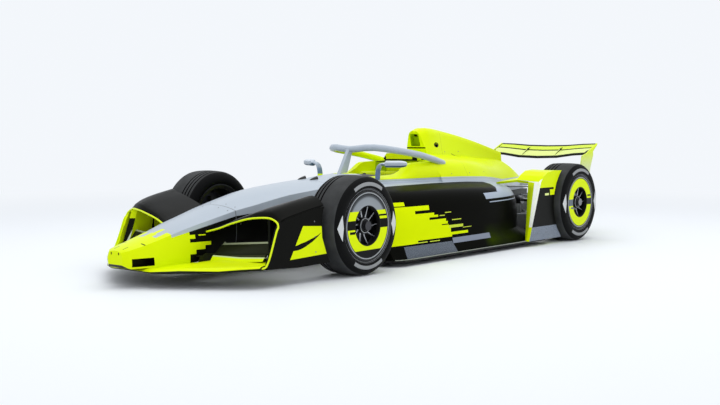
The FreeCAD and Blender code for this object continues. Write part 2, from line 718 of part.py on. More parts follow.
def headrest(cell):
    """Padded surround behind and beside the driver's head."""
    outer = [(245.0, 1210.0), (245.0, 1500.0), (160.0, 1600.0)]
    inner = [(120.0, 1490.0), (165.0, 1420.0), (168.0, 1210.0)]
    points = [vec(x, y, 560.0) for x, y in outer]
    points += [vec(-x, y, 560.0) for x, y in reversed(outer)]
    points += [vec(-x, y, 560.0) for x, y in reversed(inner)]
    points += [vec(x, y, 560.0) for x, y in inner]
    pad = prism(points, FreeCAD.Vector(0, 0, 105.0)).cut(cell)
    return sorted(pad.Solids, key=lambda s: -s.Volume)[0]


def seat():
    """The reclined seat shell lying in the well."""
    outline = [(880.0, 112.0), (1180.0, 112.0), (1530.0, 520.0)]
    outline += [(1490.0, 540.0), (1160.0, 165.0), (900.0, 175.0)]
    points = [vec(-150.0, y, z) for y, z in outline]
    return prism(points, FreeCAD.Vector(300.0, 0, 0))


column_top = (0.0, 900.0, 585.0)
column_foot = (0.0, 730.0, 527.5)
column_radius = 18.0
shaft_radius = 9.0
shaft_depth = 60.0


def steering_column(cell):
    """The column tube that stands out of the dash wall."""
    top = vec(*column_top)
    axis = (top - vec(*column_foot)).normalize()
    tube = rod(vec(*column_foot), top, column_radius).cut(cell)
    bore = rod(top - axis * (shaft_depth + moving_clearance), top + axis, shaft_radius + running_clearance)
    return tube.cut(bore)


def steering_wheel():
    """The flat-bottomed wheel with its two grips, facing the driver."""
    axis = (vec(*column_top) - vec(*column_foot)).normalize()
    centre = vec(*column_top) + axis * (moving_clearance + 1.0)
    plate = Part.makeBox(170.0, 24.0, 110.0, FreeCAD.Vector(-85.0, 0.0, -55.0))
    parts = [plate]
    for side in (-1.0, 1.0):
        grip = Part.makeBox(34.0, 34.0, 150.0, FreeCAD.Vector(side * 112.0 - 17.0, -5.0, -70.0))
        link = Part.makeBox(60.0, 20.0, 26.0, FreeCAD.Vector(side * 90.0 - 30.0, 2.0, 20.0))
        parts += [grip, link]
    whole = fuse_all(parts)
    behind = FreeCAD.Vector(0, -shaft_depth, 0)
    shaft = Part.makeCylinder(shaft_radius, shaft_depth, behind, FreeCAD.Vector(0, 1, 0))
    whole = fuse_all([whole, shaft])
    tilt = math.degrees(math.atan2(axis.z, axis.y))
    whole.rotate(FreeCAD.Vector(0, 0, 0), FreeCAD.Vector(1, 0, 0), tilt)
    whole.translate(centre)
    return whole


def mirror_pod():
    """Left mirror housing with its stalk."""
    housing = loft([
        polygon([vec(380.0, 796.0, 720.0), vec(380.0, 796.0, 762.0),
                 vec(380.0, 858.0, 766.0), vec(380.0, 858.0, 712.0)]),
        polygon([vec(534.0, 876.0, 722.0), vec(534.0, 876.0, 764.0),
                 vec(534.0, 932.0, 768.0), vec(534.0, 932.0, 714.0)]),
    ], True)
    stalk = flat_arm(vec(316.0, 838.0, 590.0), vec(390.0, 826.0, 730.0), 50.0, 12.0)
    return housing, stalk


def revolve_x(profile):
    """A ring about the X axis from a profile of (x, radius) points."""
    points = [FreeCAD.Vector(x, 0, r) for x, r in profile]
    face = Part.Face(polygon(points))
    return face.revolve(FreeCAD.Vector(0, 0, 0), FreeCAD.Vector(1, 0, 0), 360.0)


def tyre_ring(radius, width):
    """The tyre, seated on the rim."""
    h = width / 2.0
    s = rim_seat_radius
    f = rim_flange_radius
    side = [(h - 22.5, f + 0.5), (h - 4.0, f + 14.0), (h - 60.0, radius)]
    other = [(-x, r) for x, r in reversed(side)]
    seat_line = [(-h + 29.5, s), (h - 29.5, s)]
    return revolve_x(side + other + seat_line)


def rim_solid(width):
    """Barrel, flanges, spokes and hub of one wheel, outer face to plus X."""
    h = width / 2.0
    s = rim_seat_radius - running_clearance
    f = rim_flange_radius
    barrel = [(-h + 10.0, f), (-h + 22.0, f), (-h + 29.0, s), (h - 29.0, s), (h - 22.0, f), (h - 10.0, f),
              (h - 10.0, f - 8.0), (h - 24.0, s - 16.0), (-h + 24.0, s - 16.0), (-h + 10.0, f - 8.0)]
    face_x = h - 60.0
    bore = stub_radius + running_clearance
    hub = revolve_x([(face_x - 14.0, bore), (face_x + 26.0, bore),
                     (face_x + 26.0, hub_radius), (face_x - 14.0, hub_radius)])
    parts = [revolve_x(barrel), hub]
    for step in range(spoke_count):
        reach = s - 10.0 - (hub_radius - 8.0)
        corner = FreeCAD.Vector(face_x, -spoke_width / 2.0, hub_radius - 8.0)
        spoke = Part.makeBox(spoke_depth, spoke_width, reach, corner)
        spoke.rotate(FreeCAD.Vector(0, 0, 0), FreeCAD.Vector(1, 0, 0), 360.0 * step / spoke_count)
        parts.append(spoke)
    return fuse_all(parts)


def cover_ring(width):
    """The flat trim ring that closes the outer part of the wheel."""
    h = width / 2.0
    outer = rim_flange_radius - 8.0
    back = h - 10.0 - cover_thickness
    return revolve_x([(h - 38.0, cover_inner_radius), (h - 10.0, cover_inner_radius),
                      (h - 10.0, outer - 0.5), (back, outer - 12.0), (back, cover_inner_radius + 8.0),
                      (h - 38.0, cover_inner_radius + 8.0)])


def wheel_set(radius, width, centre_x, station, left):
    """Tyre, rim and cover of one wheel in place."""
    pieces = [tyre_ring(radius, width), rim_solid(width), cover_ring(width)]
    placed = []
    for piece in pieces:
        piece.translate(vec(centre_x, station, radius))
        if not left:
            piece = mirrored(piece)
        placed.append(piece)
    return placed


front_wheel_x = overall_width / 2.0 - front_wheel_inset - front_tyre_width / 2.0 - 12.0
rear_wheel_x = overall_width / 2.0 - rear_tyre_width / 2.0
front_hub_z = front_tyre_radius
rear_hub_z = rear_tyre_radius
upper_joint_z = front_hub_z + 128.0
lower_joint_z = front_hub_z - 128.0
steer_arm_z = front_hub_z + 10.0
ear_gap = 1.0
eye_height = 16.0
eye_radius = 16.0
ear_thickness = 9.0


def knuckle():
    """Left front upright with its drum, stub, clevises and steering arm."""
    x = kingpin_x
    face_x = front_wheel_x + front_tyre_width / 2.0 - 60.0
    drum = bar_x(178.0, 50.0, x + 28.0, 0, front_hub_z)
    stub = bar_x(stub_radius, face_x + 30.0 - x, x, 0, front_hub_z)
    nut = bar_x(nut_radius, nut_length, face_x + 28.0, 0, front_hub_z)
    plate = box(x - 14.0, x + 34.0, -34.0, 34.0, lower_joint_z + 32.0, upper_joint_z - 32.0)
    parts = [drum, stub, nut, plate]
    for z in (lower_joint_z, upper_joint_z):
        low = z - eye_height / 2.0 - ear_gap - ear_thickness
        high = z + eye_height / 2.0 + ear_gap
        for ear_z in (low, high):
            parts.append(box(x - 14.0, x + 34.0, -15.0, 15.0, ear_z, ear_z + ear_thickness))
        pin_length = eye_height + 2.0 * ear_gap + 2.0
        parts.append(bar_z(kingpin_pin_radius, pin_length, x, 0, low + ear_thickness - 1.0))
        parts.append(box(x + 18.0, x + 34.0, -15.0, 15.0, low, high + ear_thickness))
    bridge_low = lower_joint_z + eye_height / 2.0 + ear_gap
    parts.append(box(x - 14.0, x + 34.0, -15.0, 15.0, bridge_low, lower_joint_z + 34.0))
    bridge_high = upper_joint_z - eye_height / 2.0 - ear_gap
    parts.append(box(x - 14.0, x + 34.0, -15.0, 15.0, upper_joint_z - 34.0, bridge_high))
    arm_top = steer_arm_z - 8.0 - ear_gap
    arm = box(x - 14.0, x + 6.0, -steer_arm_reach - 14.0, -20.0, arm_top - 9.0, arm_top)
    pin = bar_z(kingpin_pin_radius - 2.0, 28.0, x - 4.0, -steer_arm_reach, steer_arm_z - 18.0)
    parts += [arm, pin]
    return fuse_all(parts)


def front_suspension(cell):
    """Left front wishbones and push rod, fixed to the cell."""
    parts = []
    for z, inner_z in ((upper_joint_z, upper_joint_z + 12.0), (lower_joint_z, lower_joint_z + 6.0)):
        arms = []
        for y in (-230.0, 200.0):
            arms.append(flat_arm(vec(kingpin_x - 13.0, 0, z), vec(230.0, y, inner_z), 34.0, 14.0))
        hole = bar_z(kingpin_pin_radius + running_clearance, 60.0, kingpin_x, 0, z - 30.0)
        eye = bar_z(eye_radius, eye_height, kingpin_x, 0, z - eye_height / 2.0)
        bone = fuse_all([eye] + arms).cut(hole)
        parts.append(bone)
    push = rod(vec(kingpin_x - 110.0, -34.0, lower_joint_z + 4.0), vec(230.0, -60.0, 500.0), 10.0)
    parts.append(push)
    whole = fuse_all(parts).cut(cell)
    return sorted(whole.Solids, key=lambda s: -s.Volume)[0]


boot_length = 100.0
boot_outer = 30.0
boot_inner = 20.0
boot_face_x = 395.0


def rack_boot(cell):
    """Left gaiter tube that the tie rod slides in."""
    y = -steer_arm_reach
    body = bar_x(boot_outer, boot_face_x - 200.0, 200.0, y, steer_arm_z)
    hole = bar_x(boot_inner, boot_length + 10.0, boot_face_x - boot_length, y, steer_arm_z)
    return body.cut(hole).cut(cell)


def tie_rod():
    """Left tie rod from the gaiter to the steering arm."""
    inner_x = boot_face_x - boot_length / 2.0
    eye_x = kingpin_x - 4.0
    y = -steer_arm_reach
    bar = bar_x(tie_rod_radius, kingpin_x - 18.0 - inner_x, inner_x, y, steer_arm_z)
    eye = bar_z(eye_radius, eye_height, eye_x, y, steer_arm_z - eye_height / 2.0)
    bore = kingpin_pin_radius - 2.0 + running_clearance
    hole = bar_z(bore, 60.0, eye_x, y, steer_arm_z - 30.0)
    return bar.fuse(eye).cut(hole)


def rear_upright():
    """Left rear hub carrier with its drum."""
    x = 640.0
    y = rear_axle
    drum = bar_x(185.0, 60.0, x + 60.0, y, rear_hub_z)
    plate = box(x, x + 62.0, y - 50.0, y + 50.0, rear_hub_z - 150.0, rear_hub_z + 150.0)
    hub = bar_x(52.0, 130.0, x - 5.0, y, rear_hub_z)
    hole = bar_x(stub_radius + running_clearance, 200.0, x - 40.0, y, rear_hub_z)
    return fuse_all([drum, plate, hub]).cut(hole)


def driveshaft():
    """Left driveshaft: inner joint, bar and the live stub in the hub."""
    y = rear_axle
    face_x = rear_wheel_x + rear_tyre_width / 2.0 - 60.0
    inner = bar_x(40.0, 90.0, drive_box[1] + moving_clearance, y, rear_hub_z)
    bar = bar_x(16.0, 320.0, 280.0, y, rear_hub_z)
    stub = bar_x(stub_radius, face_x + 27.0 - 590.0, 590.0, y, rear_hub_z)
    nut = bar_x(nut_radius, nut_length, face_x + 26.0, y, rear_hub_z)
    return fuse_all([inner, bar, stub, nut])


def rear_suspension():
    """Left rear wishbones and toe link."""
    y = rear_axle
    parts = []
    for z in (rear_hub_z - 130.0, rear_hub_z + 130.0):
        for inner_y in (-330.0, 210.0):
            bar = flat_arm(vec(650.0, y, z), vec(150.0, y + inner_y, z + 10.0), 34.0, 14.0)
            parts.append(bar)
    toe_outer = vec(650.0, y + 44.0, rear_hub_z + 20.0)
    toe_inner = vec(150.0, y + 150.0, rear_hub_z + 40.0)
    toe = flat_arm(toe_outer, toe_inner, 24.0, 12.0)
    parts.append(toe)
    return parts


def tail_structure():
    """Crash structure behind the drive unit, with the jack bar below it."""
    beam = box(-45.0, 45.0, 3330.0, 3960.0, 250.0, 380.0)
    bar = bar_x(jack_bar_radius, 2.0 * jack_bar_reach, -jack_bar_reach, jack_bar_station, jack_bar_height)
    ears = []
    front = jack_bar_station - 16.0
    rear = jack_bar_station + 16.0
    for x in (-44.0, 34.0):
        ears.append(box(x, x + 10.0, front, rear, jack_bar_height - 16.0, 252.0))
    return fuse_all([beam, bar] + ears)


def build():
    nose = nose_cone()
    cell = survival_cell()
    cover = engine_cover(cell)
    battery = box(*battery_box)
    drive = box(*drive_box)
    save("nose_cone", nose)
    save("survival_cell", cell)
    save("engine_cover", cover)
    save("battery", battery)
    pod = sidepod(cell, cover, [battery, drive])
    save("sidepod_left", pod)
    save("sidepod_right", mirrored(pod))
    save("floor", floor_plate())
    save("plank", plank())
    tunnel = diffuser().cut(drive)
    save("diffuser", tunnel)
    deck = front_wing(nose)
    save("front_wing", deck)
    fairing = front_fairing(nose, cell).cut(deck)
    flap = front_wing_flap().cut(cell).cut(nose).cut(fairing).cut(deck)
    flap = sorted(flap.Solids, key=lambda s: -s.Volume)[0]
    save("front_wing_flaps", Part.makeCompound([flap, mirrored(flap)]))
    save("front_fairing_left", fairing)
    save("front_fairing_right", mirrored(fairing))
    rear = rear_fairing(cover, pod)
    save("rear_fairing_left", rear)
    save("rear_fairing_right", mirrored(rear))
    plane, flap_plane = rear_wing_planes()
    save("rear_wing_main", plane)
    save("rear_wing_flap", flap_plane)
    plate = rear_wing_supports()
    save("rear_wing_endplates", Part.makeCompound([plate, mirrored(plate)]))
    save("halo", halo_hoop(cover, cell))
    save("headrest", headrest(cell))
    save("seat", seat().cut(cell))
    save("steering_column", steering_column(cell))
    save("steering_wheel", steering_wheel())
    housing, stalk = mirror_pod()
    stalk = stalk.cut(cell).cut(pod)
    stalk = sorted(stalk.Solids, key=lambda s: -s.Volume)[0]
    one_mirror = housing.fuse(stalk).removeSplitter()
    save("mirrors", Part.makeCompound([one_mirror, mirrored(one_mirror)]))
    save("knuckle_left", knuckle())
    save("knuckle_right", mirrored(knuckle()))
    arms = front_suspension(cell)
    save("front_suspension", Part.makeCompound([arms, mirrored(arms)]))
    boot = rack_boot(cell)
    boot = sorted(boot.Solids, key=lambda s: -s.Volume)[0]
    save("rack_gaiters", Part.makeCompound([boot, mirrored(boot)]))
    save("tie_rod_left", tie_rod())
    save("tie_rod_right", mirrored(tie_rod()))
    upright = rear_upright()
    save("rear_uprights", Part.makeCompound([upright, mirrored(upright)]))
    links = fuse_all(rear_suspension()).cut(upright).cut(drive).cut(cover)
    kept = [s for s in links.Solids if s.Volume > 20000.0]
    save("rear_suspension", Part.makeCompound(kept + [mirrored(s) for s in kept]))
    shaft = driveshaft()
    save("driveshaft_left", shaft)
    save("driveshaft_right", mirrored(shaft))
    save("drive_unit", drive)
    save("tail_structure", tail_structure())
    for name, radius, width, x, station in (
            ("front", front_tyre_radius, front_tyre_width, front_wheel_x, 0.0),
            ("rear", rear_tyre_radius, rear_tyre_width, rear_wheel_x, rear_axle)):
        for side in ("left", "right"):
            tyre, rim, ring = wheel_set(radius, width, x, station, side == "left")
            save("tyre_" + name + "_" + side, tyre)
            save("rim_" + name + "_" + side, rim)
            save("wheel_cover_" + name + "_" + side, ring)


build()
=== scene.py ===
import math

import bpy
import numpy as np
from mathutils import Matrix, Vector
from mathutils.bvhtree import BVHTree


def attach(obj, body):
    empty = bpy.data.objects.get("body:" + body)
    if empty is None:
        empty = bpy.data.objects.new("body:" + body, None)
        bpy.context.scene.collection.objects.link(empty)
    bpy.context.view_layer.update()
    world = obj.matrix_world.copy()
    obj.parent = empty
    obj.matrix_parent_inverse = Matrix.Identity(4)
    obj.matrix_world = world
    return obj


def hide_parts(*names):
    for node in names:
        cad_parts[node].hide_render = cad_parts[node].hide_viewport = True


bl_info = {
    "name": "Open wheel racing car",
    "version": (1, 0, 0),
    "blender": (4, 5, 0),
    "location": "View3D > Sidebar > Racing Car",
    "description": "Dresses the packed racing car: paint, tyres, wheels, cockpit, trim and studio",
    "category": "Object",
}

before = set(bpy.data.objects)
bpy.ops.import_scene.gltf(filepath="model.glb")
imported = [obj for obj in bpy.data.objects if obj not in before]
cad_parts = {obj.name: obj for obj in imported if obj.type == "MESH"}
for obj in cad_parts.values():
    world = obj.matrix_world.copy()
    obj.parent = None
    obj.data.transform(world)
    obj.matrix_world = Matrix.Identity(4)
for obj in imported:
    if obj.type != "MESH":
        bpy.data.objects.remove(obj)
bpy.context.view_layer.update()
FRONT_AXLE = -1.32
REAR_AXLE = 1.76
FRONT_HUB = (0.7355, FRONT_AXLE, 0.345)
REAR_HUB = (0.740, REAR_AXLE, 0.355)
SIDES = (("left", 1.0), ("right", -1.0))
MIRROR = np.array([-1.0, 1.0, 1.0])
UP = np.array([0.0, 0.0, 1.0])
DOWN, INWARD = (0, 0, -1), (-1, 0, 0)
ORIGIN = (0.0, 0.0, 0.0)
CREASE = math.radians(24.0)
# Near black laid as painted shade on openings, recesses and gaps where only shade is seen; one screw head on the cover
# takes it as its own dark colour.
SHADE_AND_SCREW_BLACK = (0.006, 0.007, 0.003)
COCKPIT_BLACK = (0.010, 0.010, 0.010)
# Black of the rear wing's painted edges, tips and brackets, also laid as painted shade in the slot between its
# elements.
EDGE_AND_SLOT_SHADE_BLACK = (0.012, 0.014, 0.006)
SEAM_GREY = (0.12, 0.13, 0.14)
BACKGROUND = (0.90, 0.93, 0.97, 1.0)


class Finish:
    """One material's node tree. Every input may be a number, a colour or another node's output. x, y and z are the
    place in the shared frame, nx, ny and nz the way the surface faces, and side is the distance from the car's
    middle plane, so that both sides are painted alike."""

    def __init__(self, name, **sockets):
        self.material = bpy.data.materials.new(name)
        self.material.use_nodes = True
        self.nodes = self.material.node_tree.nodes
        self.links = self.material.node_tree.links
        self.nodes.clear()
        output = self.nodes.new("ShaderNodeOutputMaterial")
        self.surface = self.nodes.new("ShaderNodeBsdfPrincipled")
        self.links.new(self.surface.outputs[0], output.inputs["Surface"])
        for socket, value in sockets.items():
            self.surface.inputs[socket.replace("_", " ").title().replace("Ior", "IOR")].default_value = value
        coordinates = self.nodes.new("ShaderNodeTexCoord")
        self.place = coordinates.outputs["Object"]
        self.x, self.y, self.z = self.split(self.place)
        self.nx, self.ny, self.nz = self.split(coordinates.outputs["Normal"])
        self.side = self.math("ABSOLUTE", self.x)

    def put(self, socket, value):
        """Link an output, or write a plain value."""
        if isinstance(value, bpy.types.NodeSocket):
            self.links.new(value, socket)
        else:
            socket.default_value = value

    def split(self, vector):
        node = self.nodes.new("ShaderNodeSeparateXYZ")
        self.put(node.inputs[0], vector)
        return node.outputs[0], node.outputs[1], node.outputs[2]

    def math(self, operation, *values):
        """One Math node."""
        node = self.nodes.new("ShaderNodeMath")
        node.operation = operation
        for socket, value in zip(node.inputs, values):
            self.put(socket, value)
        return node.outputs[0]

    def less(self, value, amount):
        """The value with an amount taken off."""
        return self.math("SUBTRACT", value, amount)

    def reach(self, a, b):
        """The length of a line from its two parts."""
        return self.math("SQRT", self.math("ADD", self.math("MULTIPLY", a, a), self.math("MULTIPLY", b, b)))

    def within(self, value, low, high):
        """1 where a value lies between two limits."""
        return self.math("COMPARE", value, (low + high) / 2.0, (high - low) / 2.0)

    def above(self, value, limit):
        return self.math("GREATER_THAN", value, limit)

    def below(self, value, limit):
        return self.math("LESS_THAN", value, limit)

    def both(self, *masks):
        """1 where every mask is 1: their product."""
        whole = masks[0]
        for mask in masks[1:]:
            whole = self.math("MULTIPLY", whole, mask)
        return whole

    def either(self, *masks):
        """1 where any mask is 1: their maximum."""
        whole = masks[0]
        for mask in masks[1:]:
            whole = self.math("MAXIMUM", whole, mask)
        return whole

    def without(self, mask):
        return self.math("SUBTRACT", 1.0, mask)

    def box(self, h, v, low_h, high_h, low_v, high_v):
        return self.both(self.within(h, low_h, high_h), self.within(v, low_v, high_v))

    def boxes(self, h, v, *rows):
        """1 inside any of several boxes, each given by its limits in h and in v."""
        return self.either(*[self.box(h, v, *row) for row in rows])

    def ramp(self, value, rows, interpolation):
        """A number read from a table of (place, number): held from each place on, or blended between them."""
        places = [row[0] for row in rows]
        numbers = [row[1] for row in rows]
        low, high = min(places), max(places)
        floor, top = min(numbers), max(numbers)
        along = self.math("MULTIPLY_ADD", value, 1.0 / (high - low), -low / (high - low))
        node = self.nodes.new("ShaderNodeValToRGB")
        node.color_ramp.interpolation = interpolation
        self.put(node.inputs[0], along)
        elements = node.color_ramp.elements
        while len(elements) < len(rows):
            elements.new(0.5)
        for element, (place, number) in zip(elements, rows):
            element.position = (place - low) / (high - low)
            share = (number - floor) / (top - floor)
            element.color = (share, share, share, 1.0)
        return self.math("MULTIPLY_ADD", node.outputs[0], top - floor, floor)

    def stepped(self, value, rows):
        return self.ramp(value, rows, "CONSTANT")

    def blended(self, value, rows):
        return self.ramp(value, rows, "LINEAR")

    def left_of(self, h, v, start, end):
        """1 on the left of the line from start to end in the plane of h and v."""
        dh, dv = end[0] - start[0], end[1] - start[1]
        length = math.hypot(dh, dv)
        nh, nv = -dv / length, dh / length
        partial = self.math("MULTIPLY_ADD", v, nv, -(nh * start[0] + nv * start[1]))
        return self.above(self.math("MULTIPLY_ADD", h, nh, partial), 0.0)

    def patch(self, h, v, corners):
        """1 inside a patch with outward corners, given anticlockwise in the plane of h and v."""
        ends = corners[1:] + corners[:1]
        return self.both(*[self.left_of(h, v, a, b) for a, b in zip(corners, ends)])

    def noise(self, scale, detail=2.0, stretch=(1.0, 1.0, 1.0)):
        """Even grain in 0..1 over the piece."""
        mapping = self.nodes.new("ShaderNodeMapping")
        mapping.inputs["Scale"].default_value = stretch
        self.put(mapping.inputs["Vector"], self.place)
        node = self.nodes.new("ShaderNodeTexNoise")
        node.inputs["Scale"].default_value = scale
        node.inputs["Detail"].default_value = detail
        self.links.new(mapping.outputs[0], node.inputs["Vector"])
        return node.outputs["Fac"]

    def mix(self, mask, under, over):
        """The colour over where the mask is 1, else the colour under."""
        node = self.nodes.new("ShaderNodeMix")
        node.data_type = "RGBA"
        self.put(node.inputs[0], mask)
        self.put(node.inputs[6], full(under))
        self.put(node.inputs[7], full(over))
        return node.outputs[2]

    def speckle(self, limit, colour, dark, light):
        """Coarse grain in a darker and a lighter shade of one colour; limit sets how much of it is dark."""
        grain = self.above(self.noise(420.0, 1.0), limit)
        return self.mix(grain, tuple(dark * c for c in colour), tuple(light * c for c in colour))

    def layers(self, base, *layers):
        """Coats of colour, each given as (mask, colour), laid one on the other."""
        colour = full(base)
        for mask, over in layers:
            colour = self.mix(mask, colour, over)
        return colour

    def tint(self, colour, amount, scale):
        """The colour made a little lighter and darker by grain."""
        share = self.math("MULTIPLY_ADD", self.noise(scale), amount * 2.0, 1.0 - amount)
        node = self.nodes.new("ShaderNodeMix")
        node.data_type = "RGBA"
        node.blend_type = "MULTIPLY"
        node.inputs[0].default_value = 1.0
        self.put(node.inputs[6], full(colour))
        spread = self.nodes.new("ShaderNodeCombineXYZ")
        for socket in spread.inputs:
            self.put(socket, share)
        self.put(node.inputs[7], spread.outputs[0])
        return node.outputs[2]

    def colour(self, value):
        self.put(self.surface.inputs["Base Color"], full(value))

    def roughness(self, value):
        self.put(self.surface.inputs["Roughness"], value)

    def shine(self, colour, dark, light):
        """Specular level from dark to light with the blue share of the colour."""
        parts = self.nodes.new("ShaderNodeSeparateColor")
        self.links.new(colour, parts.inputs[0])
        share = self.math("MINIMUM", self.math("MULTIPLY", parts.outputs[2], 3.0), 1.0)
        level = self.math("MULTIPLY_ADD", share, light - dark, dark)
        self.put(self.surface.inputs["Specular IOR Level"], level)

    def relief(self, height, strength, distance):
        """Raised and sunk grain from a height."""
        node = self.nodes.new("ShaderNodeBump")
        node.inputs["Strength"].default_value = strength
        node.inputs["Distance"].default_value = distance
        self.put(node.inputs["Height"], height)
        self.links.new(node.outputs[0], self.surface.inputs["Normal"])

    def weave(self, pitch):
        """Twill cloth: two sets of diagonal bands, 0..1."""
        across = self.math("MULTIPLY", self.math("ADD", self.x, self.z), 1.0 / pitch)
        along = self.math("MULTIPLY", self.math("ADD", self.y, self.z), 1.0 / pitch)
        whole = self.math("ADD", across, along)
        return self.math("PINGPONG", self.math("ADD", whole, self.math("FLOOR", across)), 1.0)


def full(colour):
    """A colour with its fourth number, where it is a plain tuple."""
    if isinstance(colour, bpy.types.NodeSocket):
        return colour
    return tuple(colour)[:3] + (1.0,)


def gloss_paint(name, coats_of, *given, rough=0.30, specular=0.26, dark_specular=0.05):
    """Sprayed paint with a faint orange peel; coats_of lays the colours, and lime and black shine less."""
    finish = Finish(name)
    coats = coats_of(finish, *given)
    finish.colour(finish.tint(coats, 0.02, 9.0))
    finish.shine(coats, dark_specular, specular)
    smears = finish.noise(14.0, 3.0)
    finish.roughness(finish.math("MULTIPLY_ADD", smears, 0.08, rough - 0.04))
    finish.relief(finish.noise(900.0, 1.0), 0.05, 0.0005)
    return finish.material


def satin(name, colour, rough=0.42, specular=0.3, metallic=0.0, grain=500.0):
    """An even satin finish with fine grain."""
    finish = Finish(name, specular_ior_level=specular, metallic=metallic)
    finish.colour(finish.tint(colour, 0.08, 25.0))
    finish.roughness(finish.math("MULTIPLY_ADD", finish.noise(18.0, 3.0), 0.16, rough - 0.08))
    finish.relief(finish.noise(grain), 0.12, 0.0004)
    return finish.material


def carbon_cloth(name, colour, rough=0.36):
    """Lacquered carbon cloth with a fine twill."""
    finish = Finish(name, specular_ior_level=0.14)
    twill = finish.weave(0.006)
    finish.colour(finish.mix(twill, tuple(c * 0.75 for c in colour), tuple(c * 1.3 for c in colour)))
    finish.roughness(finish.math("MULTIPLY_ADD", twill, 0.08, rough))
    finish.relief(twill, 0.1, 0.0004)
    return finish.material


def dress(node, material):
    """Give a CAD node its one finish."""
    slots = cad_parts[node].data.materials
    slots.clear()
    slots.append(material)


def even_shading():
    """A modifier that shades curved faces smoothly and keeps the edges that turn more sharply crisp."""
    group = bpy.data.node_groups.new("even shading", "GeometryNodeTree")
    for way in ("INPUT", "OUTPUT"):
        group.interface.new_socket("Geometry", in_out=way, socket_type="NodeSocketGeometry")
    new, link = group.nodes.new, group.links.new
    enter, leave = new("NodeGroupInput"), new("NodeGroupOutput")
    plain = new("GeometryNodeRemoveAttribute")
    plain.inputs["Name"].default_value = "custom_normal"
    merge = new("GeometryNodeMergeByDistance")
    merge.inputs["Distance"].default_value = 0.00002
    faces = new("GeometryNodeSetShadeSmooth")
    edges = new("GeometryNodeSetShadeSmooth")
    edges.domain = "EDGE"
    edges.inputs["Shade Smooth"].default_value = False
    angle = new("GeometryNodeInputMeshEdgeAngle")
    sharp = new("FunctionNodeCompare")
    sharp.inputs[1].default_value = CREASE
    link(angle.outputs[0], sharp.inputs[0])
    link(sharp.outputs[0], edges.inputs["Selection"])
    steps = (enter, plain, merge, faces, edges, leave)
    for before, after in zip(steps, steps[1:]):
        link(before.outputs[0], after.inputs[0])
    return group


def round_steps(count):
    return np.linspace(0.0, 2.0 * np.pi, count, endpoint=False)


def rounded(turn, power):
    """Cosine and sine of a turn, each raised to a power with its sign kept: the two parts of a superellipse."""
    c, s = np.cos(turn), np.sin(turn)
    return np.sign(c) * np.abs(c) ** power, np.sign(s) * np.abs(s) ** power


def outward(points, faces):
    """The faces of a closed shape, all turned over where its signed volume is negative."""
    corners = np.array([(face[0], face[k], face[k + 1]) for face in faces for k in range(1, len(face) - 1)])
    a, b, c = (points[corners[:, k]] for k in range(3))
    volume = np.einsum("ij,ij->i", a, np.cross(b, c)).sum()
    return faces if volume > 0.0 else [face[::-1] for face in faces]


def piece(name, shape, material, body):
    """A mesh object at the origin from a shape, which is its points and faces, riding on a body."""
    points, faces = shape
    mesh = bpy.data.meshes.new(name)
    mesh.from_pydata(points.tolist(), [], outward(points, faces))
    mesh.materials.append(material)
    mesh.validate()
    mesh.update()
    item = bpy.data.objects.new(name, mesh)
    bpy.context.scene.collection.objects.link(item)
    item.modifiers.new("shading", "NODES").node_group = bpy.data.node_groups["even shading"]
    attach(item, body)
    return item


def grid_faces(rows, columns, closed_rows=False, closed_columns=False):
    """Quads over a grid of points, wrapped round where the grid closes."""
    i = np.arange(rows if closed_rows else rows - 1)[:, None]
    j = np.arange(columns if closed_columns else columns - 1)[None, :]
    i2, j2 = (i + 1) % rows, (j + 1) % columns
    quads = np.stack([i * columns + j, i2 * columns + j, i2 * columns + j2, i * columns + j2], -1)
    return quads.reshape(-1, 4).tolist()


def tube_faces(rows, columns):
    """Quads round a tube of rings, with one face over each end, all wound the same way."""
    last = (rows - 1) * columns
    return grid_faces(rows, columns, False, True) + [list(range(columns)), [last + k for k in range(columns)][::-1]]


def merged(parts):
    """Several shapes joined in one."""
    points, faces, start = [], [], 0
    for more, quads in parts:
        points.append(more)
        faces += [[index + start for index in quad] for quad in outward(more, quads)]
        start += len(more)
    return np.concatenate(points), faces


def revolved(profile, centre, side, count):
    """A closed profile of (x, radius) carried round the wheel's axis: y = r cos a, z = r sin a."""
    along, radius = np.asarray(profile, float).T[:, :, None]
    turn = round_steps(count)
    x = side * (centre[0] + along) + 0.0 * turn
    points = np.stack([x, centre[1] + radius * np.cos(turn), centre[2] + radius * np.sin(turn)], -1)
    return points.reshape(-1, 3), grid_faces(len(profile), count, True, True)


def swept(path, section, sizes=(1.0, 1.0)):
    """A section of (across, over) carried along a path: each ring is the path's point plus the section
    laid on the side and up directions, which are taken square to the path. Sizes scales it across and over,
    with one pair for all or a pair for each ring."""
    path, section = np.asarray(path, float), np.asarray(section, float)
    sizes = np.broadcast_to(sizes, (len(path), 2))
    along = np.gradient(path, axis=0)
    along /= np.linalg.norm(along, axis=1)[:, None]
    side = np.cross(along, UP)
    weak = np.linalg.norm(side, axis=1) < 1e-3
    side[weak] = np.cross(along[weak], [0.0, 1.0, 0.0])
    side /= np.linalg.norm(side, axis=1)[:, None]
    up = np.cross(side, along)
    across, over = section.T[:, None, :, None] * sizes.T[:, :, None, None]
    points = path[:, None, :] + side[:, None, :] * across + up[:, None, :] * over
    return points.reshape(-1, 3), tube_faces(len(path), len(section))


def round_section(radius, count=8):
    return radius * np.stack(rounded(round_steps(count), 1.0), -1)


def smooth_path(points, count):
    """A path through points, by cubic blending between them."""
    points = np.asarray(points, float)
    padded = np.concatenate([2 * points[:1] - points[1:2], points, 2 * points[-1:] - points[-2:-1]])
    t = np.linspace(0.0, len(points) - 1.0, count)
    k = np.minimum(t.astype(int), len(points) - 2)
    u = (t - k)[:, None]
    a, b, c, d = padded[k], padded[k + 1], padded[k + 2], padded[k + 3]
    return 0.5 * (2 * b + (c - a) * u + (2 * a - 5 * b + 4 * c - d) * u ** 2 + (3 * b - a - 3 * c + d) * u ** 3)


